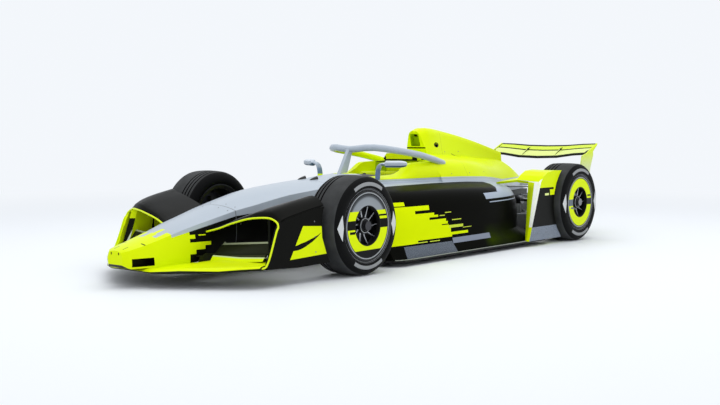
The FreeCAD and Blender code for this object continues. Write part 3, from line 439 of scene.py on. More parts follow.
class PaintSettings(bpy.types.PropertyGroup):
    """Colours of the bodywork."""

    lime: bpy.props.FloatVectorProperty(
        name="Fluorescent lime", description="Main paint", subtype="COLOR", size=3, default=(0.73, 0.89, 0.0015))
    satin_black: bpy.props.FloatVectorProperty(
        name="Satin black", description="Second paint", subtype="COLOR", size=3, default=(0.0042, 0.0044, 0.0034))
    silver: bpy.props.FloatVectorProperty(
        name="Silver", description="Upper body paint", subtype="COLOR", size=3, default=(0.43, 0.49, 0.56))
    steel_blue: bpy.props.FloatVectorProperty(
        name="Silver blue", description="Paint of the rear flank", subtype="COLOR", size=3, default=(0.34, 0.40, 0.50))
    carbon: bpy.props.FloatVectorProperty(
        name="Carbon", description="Bare carbon pieces", subtype="COLOR", size=3, default=(0.007, 0.007, 0.0074))
    skid_grey: bpy.props.FloatVectorProperty(
        name="Skirt grey", description="Grained lower panels", subtype="COLOR", size=3, default=(0.085, 0.10, 0.125))


class WheelSettings(bpy.types.PropertyGroup):
    """Sizes of the tyres and wheel faces."""

    groove_depth: bpy.props.FloatProperty(
        name="Groove depth", description="Depth of the tread's rings", default=0.006, min=0.001, max=0.01,
        unit="LENGTH")
    groove_width: bpy.props.FloatProperty(
        name="Groove width", description="Width of the tread's rings", default=0.010, min=0.002, max=0.02,
        unit="LENGTH")
    round_count: bpy.props.IntProperty(
        name="Round count", description="Steps round a tyre", default=144, min=32, max=400)
    rubber: bpy.props.FloatVectorProperty(
        name="Rubber", description="Tyre colour", subtype="COLOR", size=3, default=(0.0028, 0.0030, 0.0032))
    spoke: bpy.props.FloatVectorProperty(
        name="Spokes", description="Spoke lacquer", subtype="COLOR", size=3, default=(0.56, 0.58, 0.61))
    spoke_count: bpy.props.IntProperty(
        name="Spokes", description="Spokes of a wheel", default=10, min=5, max=20)


class StageSettings(bpy.types.PropertyGroup):
    """Camera, light and floor."""

    camera_place: bpy.props.FloatVectorProperty(
        name="Camera place", description="Where the camera stands", subtype="TRANSLATION", size=3,
        default=(5.1775, -6.6526, 0.9502), unit="LENGTH")
    camera_turn: bpy.props.FloatVectorProperty(
        name="Camera turn", description="How the camera is turned", subtype="EULER", size=3,
        default=(math.radians(86.28), 0.0, math.radians(39.37)), unit="ROTATION")
    lens: bpy.props.FloatProperty(
        name="Lens", description="Focal length in millimetres", default=50.3, min=10.0, max=200.0)
    world_level: bpy.props.FloatProperty(
        name="Studio light", description="Level of the even light", default=0.89, min=0.0, max=3.0)
    lamp_power: bpy.props.FloatProperty(
        name="Overhead lamp", description="Power of the soft lamp above", default=150.0, min=0.0, max=5000.0)
    floor_colour: bpy.props.FloatVectorProperty(
        name="Floor", description="Colour of the floor", subtype="COLOR", size=3, default=(0.86, 0.89, 0.93))


def nose_colours(f, paint):
    """Lime front with stepped edges, silver top, black flank, and a duct laid near black as painted shade."""
    border = f.math("MULTIPLY_ADD", f.y, 0.2273, 0.8544)
    upper = f.above(f.z, border)
    top_edge = f.stepped(f.x, [
        (-0.20, -2.43), (-0.09, -2.45), (-0.075, -2.53), (-0.022, -2.46), (-0.006, -2.392), (0.03, -2.47),
        (0.046, -2.515), (0.086, -2.425), (0.13, -2.43), (0.2, -2.43)])
    flank_edge = f.stepped(f.z, [
        (0.10, -2.309), (0.138, -2.309), (0.186, -2.262), (0.213, -2.188), (0.238, -2.142), (0.262, -2.303),
        (0.285, -2.262), (0.311, -2.30), (0.45, -2.30)])
    silver = f.both(upper, f.above(f.y, top_edge))
    lime = f.either(
        f.both(f.without(upper), f.below(f.y, flank_edge)),
        f.both(upper, f.below(f.y, top_edge)),
        f.below(f.y, -2.43),
        f.box(f.y, f.z, -2.236, -2.182, 0.304, 0.311))
    lime = f.both(lime, f.without(silver))
    # Painted shade: the duct opening is laid near black.
    duct = f.both(f.box(f.y, f.z, -2.7285, -2.5775, 0.1375, 0.1885), f.below(f.side, 0.2))
    marks = f.both(f.above(f.nz, 0.4), f.either(
        f.box(f.y, f.side, -2.742, -2.700, 0.041, 0.047),
        f.box(f.y, f.side, -2.629, -2.619, 0.075, 0.118)))
    button = f.both(f.below(f.y, -2.76), f.box(f.side, f.z, 0.032, 0.042, 0.212, 0.228))
    seam = f.above(f.y, -1.9325)
    under = f.below(f.nz, -0.5)
    return f.layers(paint.satin_black, (silver, paint.silver), (lime, paint.lime), (duct, (0.004, 0.005, 0.002)),
                    (f.either(marks, button), (0.02, 0.024, 0.0)), (under, paint.carbon), (seam, SEAM_GREY))


def cell_colours(f, paint):
    """Silver front, lime round the cockpit, pale band with pinstripes below."""
    edge = f.stepped(f.z, [(0.40, -0.5), (0.58, -0.56), (0.60, -0.52), (0.62, -0.58), (0.64, -0.54), (0.66, -0.60),
                           (0.69, -0.56), (0.80, -0.56)])
    lime = f.both(f.above(f.y, edge), f.above(f.z, 0.617))
    skirt = f.blended(f.y, [(-1.93, 0.4157), (-1.72, 0.437), (-1.3, 0.448), (-0.9, 0.455), (-0.85, 0.2), (0.3, 0.2)])
    flank = f.below(f.z, skirt)
    stripes = f.both(f.above(f.y, -0.5), f.above(f.side, 0.25), f.either(
        f.within(f.z, 0.6045, 0.6068), f.within(f.z, 0.6145, 0.617)))
    inside = f.both(f.box(f.x, f.y, -0.2275, 0.2275, -1.48, 0.235), f.below(f.z, 0.66))
    hollow = f.both(inside, f.either(f.below(f.z, 0.503), f.above(f.y, -0.54)))
    dash = f.both(f.below(f.y, -0.514), f.above(f.y, -0.523), f.below(f.side, 0.21), f.above(f.z, 0.503))
    sill = f.both(f.within(f.side, 0.2245, 0.236), f.box(f.y, f.z, -0.50, -0.13, 0.60, 0.690), f.above(f.nz, 0.3))
    # Painted shade: the inner side of the cockpit rim in a darker, more olive lime.
    shaded_cockpit_side = f.both(f.box(f.side, f.y, 0.16, 0.229, -0.3, 0.24), f.above(f.z, 0.662))
    # Painted shade: near black laid on the recess by the headrest.
    shaded_pocket = f.both(f.box(f.side, f.y, 0.16, 0.222, 0.150, 0.262), f.above(f.z, 0.738))
    seam = f.either(f.below(f.y, -1.9275), f.both(f.within(f.y, -1.004, -1.001), f.above(f.z, 0.45)))
    return f.layers(paint.silver, (lime, paint.lime), (stripes, (0.16, 0.24, 0.04)), (flank, paint.satin_black),
                    (hollow, COCKPIT_BLACK), (dash, COCKPIT_BLACK), (shaded_cockpit_side, (0.30, 0.46, 0.0)),
                    (sill, (0.020, 0.022, 0.006)), (shaded_pocket, SHADE_AND_SCREW_BLACK), (seam, SEAM_GREY))


def cover_colours(f, paint):
    """Lime cover with a pale lower band and pinstripes; the air intake's faces are painted a darker lime as shade, and
    its slot, the small openings, the gaps between the slats and the gap under the head block are laid near black as
    painted shade.
    """
    band = f.below(f.z, f.blended(f.y, [
        (-2.0, 0.617), (0.28, 0.617), (0.6, 0.613), (1.0, 0.600), (1.2, 0.585), (1.45, 0.56), (2.2, 0.56)]))
    line = f.less(f.z, f.blended(f.y, [(0.2, 0.606), (0.6, 0.602), (1.0, 0.588), (1.5, 0.55), (2.0, 0.5)]))
    stripe = f.both(f.above(f.side, 0.1), f.within(line, -0.001, 0.0013), f.below(f.y, 1.3))
    away = f.reach(f.math("MULTIPLY_ADD", f.y, 0.55, -0.605 * 0.55), f.less(f.z, 0.882))
    # Painted shade: the round opening in the cover is laid near black.
    shaded_hole = f.both(f.below(away, 0.0225), f.below(f.side, 0.14), f.above(f.nz, -0.2))
    screw = f.below(f.reach(f.less(f.y, 0.424), f.less(f.z, 0.857)), 0.006)
    # Painted shade: near black on the inlets and recesses round the head block.
    shaded_pocket = f.either(
        f.both(f.box(f.side, f.y, 0.16, 0.245, 0.2805, 0.352), f.box(f.z, f.y, 0.752, 0.786, 0.2, 0.36)),
        f.both(f.box(f.side, f.y, 0.139, 0.20, 0.165, 0.230), f.within(f.z, 0.744, 0.786)))
    # Painted shade: the faces inside the air intake are a darker lime.
    intake = f.both(f.below(f.side, 0.0475), f.box(f.z, f.y, 0.8715, 0.9785, 0.38, 0.56), f.either(
        f.below(f.ny, -0.3), f.above(f.math("ABSOLUTE", f.nx), 0.6), f.above(f.nz, 0.6), f.below(f.nz, -0.4)))
    # Painted shade: the slot in the intake is laid near black.
    slot = f.both(f.below(f.side, 0.03), f.box(f.z, f.y, 0.955, 0.972, 0.40, 0.50))
    # Painted shade: near black on the feed opening inside the intake.
    shaded_feed = f.both(f.box(f.x, f.z, 0.010, 0.038, 0.879, 0.907), f.box(f.y, f.z, 0.40, 0.56, 0.8, 1.0))
    shadow = f.both(f.below(f.y, 0.2), f.above(f.z, 0.722), f.below(f.z, 0.764), f.below(f.side, 0.150))
    # Painted shade: thin near black lines in the gaps between the slats.
    slat_gap_shade = f.both(f.within(f.math("MULTIPLY_ADD", f.y, 0.28, f.z), 1.040, 1.0445), f.within(f.y, 0.86, 0.97),
                    f.below(f.side, 0.19))
    joint = f.both(f.within(f.y, 0.700, 0.7022), f.above(f.z, 0.617))
    return f.layers(paint.lime, (band, paint.silver), (stripe, (0.20, 0.30, 0.05)), (joint, (0.25, 0.33, 0.0)),
                    (intake, (0.36, 0.52, 0.0)), (f.both(intake, slot), (0.015, 0.018, 0.004)),
                    (f.either(shaded_hole, shaded_pocket, shaded_feed, screw, shadow, slat_gap_shade), SHADE_AND_SCREW_BLACK))


def flank_colours(f, paint):
    """Black sidepod with the stepped lime patch, silver blue rear and grained skirt."""
    edge = f.stepped(f.z, [
        (0.0, -0.105), (0.158, -0.104), (0.163, -0.10), (0.185, 0.133), (0.206, -0.115), (0.243, -0.03),
        (0.262, -0.145), (0.276, -0.16), (0.296, -0.185), (0.318, -0.402), (0.336, -0.29), (0.352, -0.34),
        (0.371, -0.575), (0.395, -0.397), (0.418, -0.395), (0.431, -0.9), (0.436, -0.678), (0.465, -1.2),
        (0.6, -1.2)])
    low = f.blended(f.y, [(-0.9, 0.147), (-0.55, 0.151), (-0.1, 0.160), (0.2, 0.160)])
    lime = f.both(f.below(f.y, edge), f.above(f.z, low))
    cut = f.boxes(f.y, f.z, (-0.546, -0.10, 0.150, 0.171), (-0.402, -0.20, 0.322, 0.332), (-0.24, -0.13, 0.268, 0.276))
    dashes = f.boxes(
        f.y, f.z, (-0.195, -0.113, 0.361, 0.368), (-0.101, 0.03, 0.299, 0.306), (-0.14, 0.06, 0.240, 0.262),
        (0.059, 0.187, 0.230, 0.235), (-0.27, -0.20, 0.341, 0.348), (-0.555, -0.43, 0.151, 0.158),
        (-0.40, -0.27, 0.151, 0.157))
    slant = f.blended(f.z, [(0.0, -0.03), (0.14, -0.115), (0.3, -0.2)])
    grained = f.both(f.below(f.z, 0.137), f.above(f.z, 0.050), f.above(f.y, -0.72), f.below(f.y, slant))
    slope = f.box(f.y, f.z, -0.10, 0.47, 0.118, 0.160)
    fade = f.math("MULTIPLY", f.blended(f.y, [(-1.0, 0.0), (0.36, 0.0), (0.48, 1.0), (0.66, 0.4), (1.3, 0.15)]),
                  f.blended(f.z, [(0.0, 0.0), (0.05, 0.4), (0.10, 1.0), (0.17, 0.35), (0.24, 0.0), (0.6, 0.0)]))
    pale_top = f.both(f.above(f.z, 0.50), f.below(f.side, f.blended(f.y, [
        (-1.0, 0.47), (-0.47, 0.442), (-0.1, 0.430), (0.4, 0.402), (0.62, 0.385), (0.9, 0.375)])))
    shoulder = f.above(f.y, f.blended(f.z, [
        (0.40, 0.735), (0.495, 0.735), (0.513, 0.79), (0.540, 0.91), (0.6, 0.94)]))
    rear = f.both(f.above(f.z, 0.40), f.above(f.y, f.stepped(f.z, [
        (0.0, 1.6), (0.30, 1.3), (0.405, 0.50), (0.415, 1.3), (0.436, 0.45), (0.486, 0.60), (0.7, 0.60)])),
                  f.either(shoulder, f.below(f.z, 0.486)))
    speckle = f.speckle(0.56, paint.skid_grey, 1.0, 2.1)
    return f.layers(paint.satin_black, (fade, (0.028, 0.048, 0.0)), (rear, paint.steel_blue),
                    (pale_top, paint.silver), (lime, paint.lime), (cut, paint.satin_black),
                    (dashes, (0.6, 0.72, 0.05)), (grained, speckle), (slope, (0.20, 0.23, 0.30)))


def front_fairing_colours(f, paint):
    """Black with the lime patch and its curved stripe outside and the lime wall inside; a pale strip on the far side's
    front faces is a painted highlight.
    """
    inward = f.math("MULTIPLY", f.nx, f.math("SIGN", f.x))
    outer = f.above(inward, 0.5)
    patch = f.patch(f.y, f.z, [(-2.003, 0.167), (-1.60, 0.186), (-1.715, 0.366), (-1.877, 0.376)])
    curve = f.blended(f.y, [(-2.02, 0.2345), (-1.99, 0.234), (-1.93, 0.240), (-1.867, 0.256), (-1.80, 0.281),
                            (-1.75, 0.304), (-1.715, 0.326), (-1.6, 0.39)])
    half = f.blended(f.y, [
        (-2.03, 0.005), (-1.99, 0.014), (-1.90, 0.018), (-1.80, 0.011), (-1.722, 0.001), (-1.6, 0.0005)])
    swoosh = f.both(f.below(f.math("ABSOLUTE", f.less(f.z, curve)), half), f.below(f.y, -1.72))
    patch = f.both(outer, patch, f.without(swoosh))
    wall = f.both(f.below(inward, -0.4), f.below(f.side, 0.735), f.below(f.z, 0.50), f.above(f.z, 0.12))
    rim_end = f.blended(f.z, [
        (0.10, -2.16), (0.205, -2.130), (0.268, -2.107), (0.345, -2.075), (0.362, -1.95), (0.5, -1.95)])
    far = f.below(f.x, 0.0)
    ahead = f.below(f.ny, -0.45)
    rim = f.both(far, f.above(f.side, 0.735), f.below(f.y, rim_end), f.either(f.below(inward, -0.3), ahead))
    face = f.both(ahead, f.below(f.side, 0.75), f.below(f.nz, 0.4), f.below(f.y, -1.95), f.below(f.z, 0.43))
    hood = f.both(face, far, f.above(f.z, 0.366))
    # Painted highlight: a pale strip on the far side's front faces.
    far_edge_highlight = f.both(face, far, f.below(f.side, f.math("MULTIPLY_ADD", f.z, -0.38, 0.793)))
    return f.layers(paint.satin_black, (patch, paint.lime), (wall, paint.lime), (rim, paint.lime),
                    (face, (0.006, 0.007, 0.004)), (hood, paint.lime), (far_edge_highlight, (0.80, 0.84, 0.80)))


def rear_fairing_colours(f, paint):
    """Lime top with stepped edge, black panel and grained foot; the lime inner side and front face are darkened as
    painted shade, and the white on the front edge is a painted highlight.
    """
    edge = f.stepped(f.z, [(0.0, 3.0), (0.437, 1.31), (0.478, 1.305), (0.487, 1.375), (0.506, 0.0), (0.8, 0.0)])
    lime = f.above(f.y, edge)
    dash = f.box(f.y, f.z, 1.22, 1.29, 0.437, 0.456)
    foot = f.below(f.z, 0.168)
    outer = f.above(f.side, 0.8245)
    face = f.both(f.below(f.ny, -0.3), f.below(f.nz, 0.6))
    inner = f.both(f.without(outer), f.below(f.z, 0.6), f.without(face))
    # Painted highlight: the white on the front edge.
    white = f.both(face, f.above(f.side, f.blended(f.z, [
        (0.0, 0.80), (0.17, 0.795), (0.55, 0.765), (0.6, 0.4), (0.8, 0.4)])))
    # Painted shade: the inner side and front face darken, most low down and inboard.
    inner_shade = f.math("MULTIPLY", f.blended(f.z, [(0.05, 0.6), (0.17, 0.85), (0.50, 0.6), (0.58, 0.0)]),
                  f.blended(f.side, [(0.5, 1.0), (0.74, 1.0), (0.80, 0.35)]))
    shaded_lime = f.mix(inner_shade, paint.lime, (0.07, 0.15, 0.0))
    speckle = f.speckle(0.52, paint.skid_grey, 1.5, 3.2)
    return f.layers(paint.satin_black, (lime, paint.lime), (dash, (0.8, 0.9, 0.3)), (foot, speckle),
                    (inner, shaded_lime), (face, shaded_lime), (f.both(white, f.above(f.z, 0.17)), (0.90, 0.93, 0.86)),
                    (f.both(white, f.below(f.z, 0.17)), paint.lime))


def wing_colours(f, paint):
    """Lime wing elements with black edges and brackets; the dark line at the slot between them is painted shade, the
    main plane is a paler lime as a painted reflection and the flap a darker lime as painted shade.
    """
    # The third band is the slot between the elements, laid near black as painted shade.
    edges = f.either(f.below(f.y, 2.5485), f.above(f.y, 2.743), f.within(f.y, 2.6655, 2.688))
    tips = f.either(f.above(f.side, 0.5435), f.both(f.above(f.side, 0.530), f.within(f.y, 2.53, 2.60)))
    brackets = f.both(f.within(f.side, 0.185, 0.195), f.above(f.math("ABSOLUTE", f.nx), 0.6))
    # Painted light: the main plane a paler lime as a reflection, the flap a darker, more olive lime as shade.
    slope = f.mix(f.below(f.y, 2.67), (0.66, 0.82, 0.07), (0.72, 0.84, 0.24))
    return f.layers(slope, (f.either(edges, brackets, tips), EDGE_AND_SLOT_SHADE_BLACK))


def endplate_colours(f, paint):
    """Lime tips that turn pale towards the foot, with a black inner corner under the slot."""
    tall = f.blended(f.z, [(0.10, 0.0), (0.40, 1.0), (0.62, 1.0), (0.80, 0.12), (0.90, 0.0)])
    corner = f.both(f.below(f.side, 0.5515), f.within(f.y, 2.52, 2.63), f.within(f.z, 0.775, 0.80))
    return f.layers(f.mix(tall, paint.lime, (0.66, 0.74, 0.40)), (corner, EDGE_AND_SLOT_SHADE_BLACK),
                    (f.below(f.z, 0.14), paint.satin_black))


def deck_colours(f, paint):
    """Lime front wing on top, bare at the lip and below, black beyond the fairing; a pale band along the raised
    trailing lip is a painted highlight and the dark behind it painted shade.
    """
    rise = f.less(f.z, f.blended(f.side, [(0.2, 0.171), (0.3, 0.1725), (0.517, 0.1750), (0.70, 0.1845), (0.8, 0.19)]))
    # Painted highlight: a pale band along the top of the raised trailing lip.
    lip_highlight = f.both(f.above(f.side, 0.27), f.within(rise, -0.001, 0.006))
    shade = f.both(f.above(f.side, 0.27), f.above(rise, 0.006))
    lip = f.below(f.z, f.blended(f.side, [
        (0.2, 0.108), (0.35, 0.1165), (0.56, 0.1165), (0.67, 0.1275), (0.76, 0.134)]))
    return f.layers(paint.lime, (f.either(lip, f.below(f.nz, 0.30)), (0.012, 0.013, 0.006)),
                    (lip_highlight, (0.62, 0.72, 0.36)), (shade, (0.03, 0.035, 0.012)),
                    (f.above(f.side, 0.774), paint.satin_black))


def flap_colours(f, paint):
    """Dark flap whose olive tint is painted light, with a pale upper edge that is a painted highlight."""
    # Painted light: the dark olive base; painted highlight: the pale band along the upper edge.
    edge = f.math("MULTIPLY_ADD", f.side, 0.084, 0.2155)
    pale = f.both(f.above(f.z, edge), f.above(f.side, 0.27))
    return f.layers((0.017, 0.020, 0.008), (pale, (0.36, 0.40, 0.26)))


def halo_colours(f, paint):
    """Silver guard whose inner side is lime."""
    centre = f.blended(f.y, [
        (-0.60, 0.10), (-0.45, 0.215), (-0.375, 0.266), (-0.29, 0.296), (-0.16, 0.310), (0.056, 0.314), (0.25, 0.304),
        (0.42, 0.285)])
    inner = f.both(f.below(f.side, f.less(centre, 0.008)), f.above(f.y, -0.40))
    return f.layers(paint.silver, (inner, paint.lime))


def mirror_colours(f, paint):
    """Silver housings with a lime band low on each stalk; the stalks are painted bluer towards the foot as shade, the
    pods darker underneath as painted shade and paler on top as a painted highlight.
    """
    stalk = f.below(f.side, 0.372)
    shade = f.mix(f.blended(f.z, [(0.58, 1.0), (0.69, 0.8), (0.715, 0.15), (0.80, 0.0)]), paint.silver,
                  (0.085, 0.16, 0.34))
    # Painted shade: the pods' undersides darker.
    under = f.both(f.above(f.side, 0.35), f.below(f.nz, -0.35))
    # Painted highlight: the pods' tops paler.
    crown = f.both(f.above(f.side, 0.372), f.above(f.nz, 0.35))
    band = f.both(stalk, f.within(f.z, 0.625, 0.652), f.below(f.math("MULTIPLY", f.nx, f.math("SIGN", f.x)), 0.0))
    return f.layers(paint.silver, (stalk, shade), (under, (0.075, 0.13, 0.20)), (crown, (0.62, 0.68, 0.76)),
                    (band, paint.lime))


def wheel_cover_colours(f, paint, hub, front):
    """Lime ring with a level black band through the hub, short dashes and dark edges; the front one is grey above,
    darkening towards the rim as the flange's painted shadow.
    """
    y, z = f.less(f.y, hub[1]), f.less(f.z, hub[2])
    reach = f.reach(y, z)
    if front:
        band = f.within(z, -0.020, 0.042)
        dashes = f.boxes(y, z, (0.122, 0.205, 0.060, 0.073), (-0.192, -0.135, -0.050, -0.032))
        foot = f.below(z, f.math("MULTIPLY_ADD", y, 0.012, -0.166))
        top = f.above(z, 0.103)
        bar = paint.satin_black
    else:
        band = f.within(z, -0.028, 0.031)
        dashes = f.boxes(y, z, (0.142, 0.205, 0.048, 0.064), (-0.175, -0.132, -0.056, -0.040))
        foot = top = f.below(z, -1.0)
        bar = f.mix(f.above(y, 0.0), (0.13, 0.16, 0.19), (0.02, 0.022, 0.024))
    # Painted shadow: the grey darkens towards the rim, the flange's shadow on the dished cover.
    grey = f.mix(f.blended(reach, [(0.12, 0.0), (0.19, 0.2), (0.205, 1.0), (0.24, 1.0)]), (0.30, 0.33, 0.36),
                 (0.05, 0.055, 0.06))
    return f.layers(paint.lime, (top, grey), (f.either(band, dashes), bar), (foot, (0.008, 0.008, 0.009)),
                    (f.above(reach, 0.2155), (0.02, 0.021, 0.022)), (f.below(reach, 0.1395), (0.012, 0.012, 0.012)))


class CAR_OT_paint_body(bpy.types.Operator):
    """Give every CAD node its paint or bare finish"""

    bl_idname = "racing_car.paint_body"
    bl_label = "Paint the body"

    def execute(self, context):
        paint = context.scene.racing_paint
        group = even_shading()
        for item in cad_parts.values():
            item.modifiers.new("shading", "NODES").node_group = group
        painted = {
            "nose_cone": nose_colours, "survival_cell": cell_colours, "engine_cover": cover_colours,
            "sidepod_left": flank_colours, "sidepod_right": flank_colours,
            "front_fairing_left": front_fairing_colours, "front_fairing_right": front_fairing_colours,
            "rear_fairing_left": rear_fairing_colours, "rear_fairing_right": rear_fairing_colours,
            "rear_wing_main": wing_colours, "rear_wing_flap": wing_colours,
            "rear_wing_endplates": endplate_colours, "front_wing": deck_colours, "front_wing_flaps": flap_colours,
            "halo": halo_colours, "mirrors": mirror_colours,
        }
        made = {}
        for node, colours in painted.items():
            if colours not in made:
                dark = 0.004 if colours is flank_colours else 0.05
                made[colours] = gloss_paint(colours.__name__.replace("_", " "), colours, paint, dark_specular=dark)
            dress(node, made[colours])
        bare = (
            (carbon_cloth("bare carbon", paint.carbon),
             ("diffuser", "floor", "front_suspension", "tail_structure", "seat")),
            (satin("grey painted arms", (0.24, 0.26, 0.28), 0.35, 0.35), ("rear_suspension",)),
            (satin("machined metal", (0.06, 0.06, 0.066), 0.45, 0.5, 0.9),
             ("knuckle_left", "knuckle_right", "rear_uprights")),
            (satin("ground steel", (0.22, 0.225, 0.235), 0.32, 0.5, 1.0),
             ("driveshaft_left", "driveshaft_right", "steering_column", "tie_rod_left", "tie_rod_right")),
            (satin("cast casing", (0.12, 0.125, 0.13), 0.5, 0.5, 0.8), ("drive_unit",)),
            (satin("dark casing", (0.02, 0.02, 0.022), 0.6), ("battery",)),
            (satin("skid board", (0.07, 0.055, 0.04), 0.7), ("plank",)),
            (satin("black rubber", (0.012, 0.012, 0.012), 0.7, 0.2), ("rack_gaiters",)),
            (satin("moulded grip", (0.02, 0.02, 0.02), 0.6, 0.3), ("steering_wheel",)),
            (satin("pad cover", paint.lime, 0.7, 0.2), ("headrest",)),
        )
        for finish, nodes in bare:
            for node in nodes:
                dress(node, finish)
        rubber = satin("tyre rubber", context.scene.racing_wheels.rubber, 0.6, 0.3)
        rim = satin("dark rim", (0.012, 0.012, 0.013), 0.4, 0.4, 0.3)
        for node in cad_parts:
            if node.startswith("rim_"):
                dress(node, rim)
            elif node.startswith("tyre_"):
                dress(node, rubber)
        for axle, hub in (("front", FRONT_HUB), ("rear", REAR_HUB)):
            finish = gloss_paint(axle + " wheel cover paint", wheel_cover_colours, paint, hub, axle == "front")
            for name, _ in SIDES:
                dress("wheel_cover_%s_%s" % (axle, name), finish)
        return {"FINISHED"}


def tyre_profile(width, radius, grooves, depth, groove_width):
    """A tyre's whole section: bead, bulged sidewall and round shoulder on both sides, and a tread with cut rings."""
    h = width / 2.0
    shoulder, drop, drawn_radius = h - 0.045, 0.0045, 0.345
    wall = [(h - 0.0225, 0.2435), (h - 0.012, 0.2475), (h - 0.0055, 0.256), (h - 0.002, 0.270), (h - 0.0015, 0.284),
            (h - 0.004, 0.298), (h - 0.0085, 0.311), (h - 0.015, 0.3225), (h - 0.024, 0.332), (h - 0.036, 0.339)]
    wall = [(x, r * radius / drawn_radius if r > 0.26 else r) for x, r in wall]

    def crown(x):
        return radius - drop * (x / shoulder) ** 2

    tread = [(x, crown(x)) for x in np.linspace(shoulder, -shoulder, 15).tolist()
             if all(abs(x - ring) > groove_width for ring in grooves)]
    half = groove_width / 2.0
    for ring in grooves:
        top = crown(ring)
        tread += [(ring + half, top), (ring + half * 0.6, top - depth), (ring - half * 0.6, top - depth),
                  (ring - half, top)]
    tread.sort(key=lambda row: -row[0])
    far_wall = [(-x, r) for x, r in reversed(wall)]
    seat = [(-h + 0.0295, 0.2245), (h - 0.0295, 0.2245)]
    return wall + tread + far_wall + seat


def tyre_rubber(name, hub, radius, grooves, groove_width, colour):
    """Rubber with a lighter mottled tread whose grooves are laid near black as painted shade, two plain light bands and
    two plain lozenges on the sidewall.
    """
    f = Finish(name, specular_ior_level=0.08)
    y, z = f.less(f.y, hub[1]), f.less(f.z, hub[2])
    reach, wide, tall = f.reach(y, z), f.math("ABSOLUTE", y), f.math("ABSOLUTE", z)
    outer = f.above(f.side, hub[0] + 0.05)
    band = f.both(f.within(reach, radius * 0.795, radius * 0.868), f.below(f.math("DIVIDE", wide, tall), 0.60), outer)
    spread = f.math("DIVIDE", f.math("ABSOLUTE", f.less(reach, radius * 0.832)), 0.030)
    lozenge = f.both(f.below(f.math("ADD", spread, f.math("DIVIDE", tall, 0.088)), 1.0), outer)
    rings = f.both(f.either(f.within(reach, 0.2475, 0.2505), f.within(reach, 0.2545, 0.256)), outer)
    tread = f.above(reach, radius - 0.012)
    grain = f.noise(120.0, 4.0)
    # The tread is lighter and mottled.
    lighter_tread = f.mix(f.math("MULTIPLY", tread, f.math("MULTIPLY_ADD", f.noise(7.0, 4.0), 0.9, 0.1)),
                 f.tint(colour, 0.2, 30.0), (0.075, 0.078, 0.080))
    half = groove_width * 0.65
    # Painted shade: the tread's grooves laid near black.
    groove_shade = f.both(tread, f.either(*[f.within(f.side, hub[0] + g - half, hub[0] + g + half) for g in grooves]))
    f.colour(f.layers(lighter_tread, (groove_shade, (0.001, 0.001, 0.001)), (rings, (0.24, 0.25, 0.26)), (band, (0.30, 0.31, 0.32)),
                      (lozenge, (0.62, 0.64, 0.65))))
    f.roughness(f.math("MULTIPLY_ADD", grain, 0.2, 0.48))
    f.relief(grain, 0.2, 0.0006)
    return f.material


class CAR_OT_fit_tyres(bpy.types.Operator):
    """Moulded tyres with ringed treads in place of the plain ones"""

    bl_idname = "racing_car.fit_tyres"
    bl_label = "Fit the tyres"

    def execute(self, context):
        wheels = context.scene.racing_wheels
        for axle, hub, radius, width, grooves in (
                ("front", FRONT_HUB, 0.345, 0.290, (-0.098, -0.066, -0.034)),
                ("rear", REAR_HUB, 0.355, 0.315, (-0.112, -0.078, -0.044, -0.01))):
            rubber = tyre_rubber(axle + " tyre rubber", hub, radius, grooves, wheels.groove_width, wheels.rubber)
            profile = tyre_profile(width, radius, grooves, wheels.groove_depth, wheels.groove_width)
            for name, side in SIDES:
                shape = revolved(profile, hub, side, wheels.round_count)
                tyre = piece("tyre_moulded_%s_%s" % (axle, name), shape, rubber, "wheel_%s_%s" % (axle, name))
                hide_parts("tyre_%s_%s" % (axle, name))
        return {"FINISHED"}


def shifted(points, centre, side):
    """Points written for a left wheel about its hub, placed on either side."""
    placed = np.array(points, float)
    placed[..., 0] = side * (placed[..., 0] + centre[0])
    placed[..., 1] += centre[1]
    placed[..., 2] += centre[2]
    return placed


def blade_spokes(width, count):
    """Thin twisted spokes on a ring: each centre line leaves the hub at 50 mm, swings round the axle by about a
    quarter of a radian and comes forward as it reaches the barrel at 213 mm; a ridged section of six points is
    carried along it, wide at both ends and slim in the middle."""
    h = width / 2.0
    t = np.linspace(0.0, 1.0, 13)
    reach = 0.050 + 0.163 * t
    swing = 0.34 * (t - 0.5) * (1.0 - 0.35 * t)
    depth = h - 0.056 + 0.016 * np.sin(t * np.pi / 2.0) ** 2
    slim = 0.0036 + 0.0036 * (2.0 * t - 1.0) ** 2
    across = np.array([-1.0, -0.55, 0.0, 0.55, 1.0, 0.0])[:, None]
    over = np.array([-0.002, 0.002, 0.0032, 0.002, -0.002, -0.006])[:, None]
    parts = []
    for step in range(count):
        angle = 2.0 * np.pi * step / count + swing
        out = np.stack([0 * t, np.cos(angle), np.sin(angle)], -1)
        round_way = np.stack([0 * t, -np.sin(angle), np.cos(angle)], -1)
        middle = out * reach[:, None]
        middle[:, 0] = depth
        points = (middle[:, None, :] + round_way[:, None, :] * (across * slim[:, None, None])
                  + np.array([1.0, 0.0, 0.0]) * over)
        parts.append((points.reshape(-1, 3), tube_faces(len(t), len(across))))
    ring = [(h - 0.0400, 0.0475), (h - 0.0340, 0.0475), (h - 0.0330, 0.0490), (h - 0.0340, 0.0505),
            (h - 0.0400, 0.0505)]
    parts.append(revolved(ring, ORIGIN, 1.0, 48))
    return merged(parts)


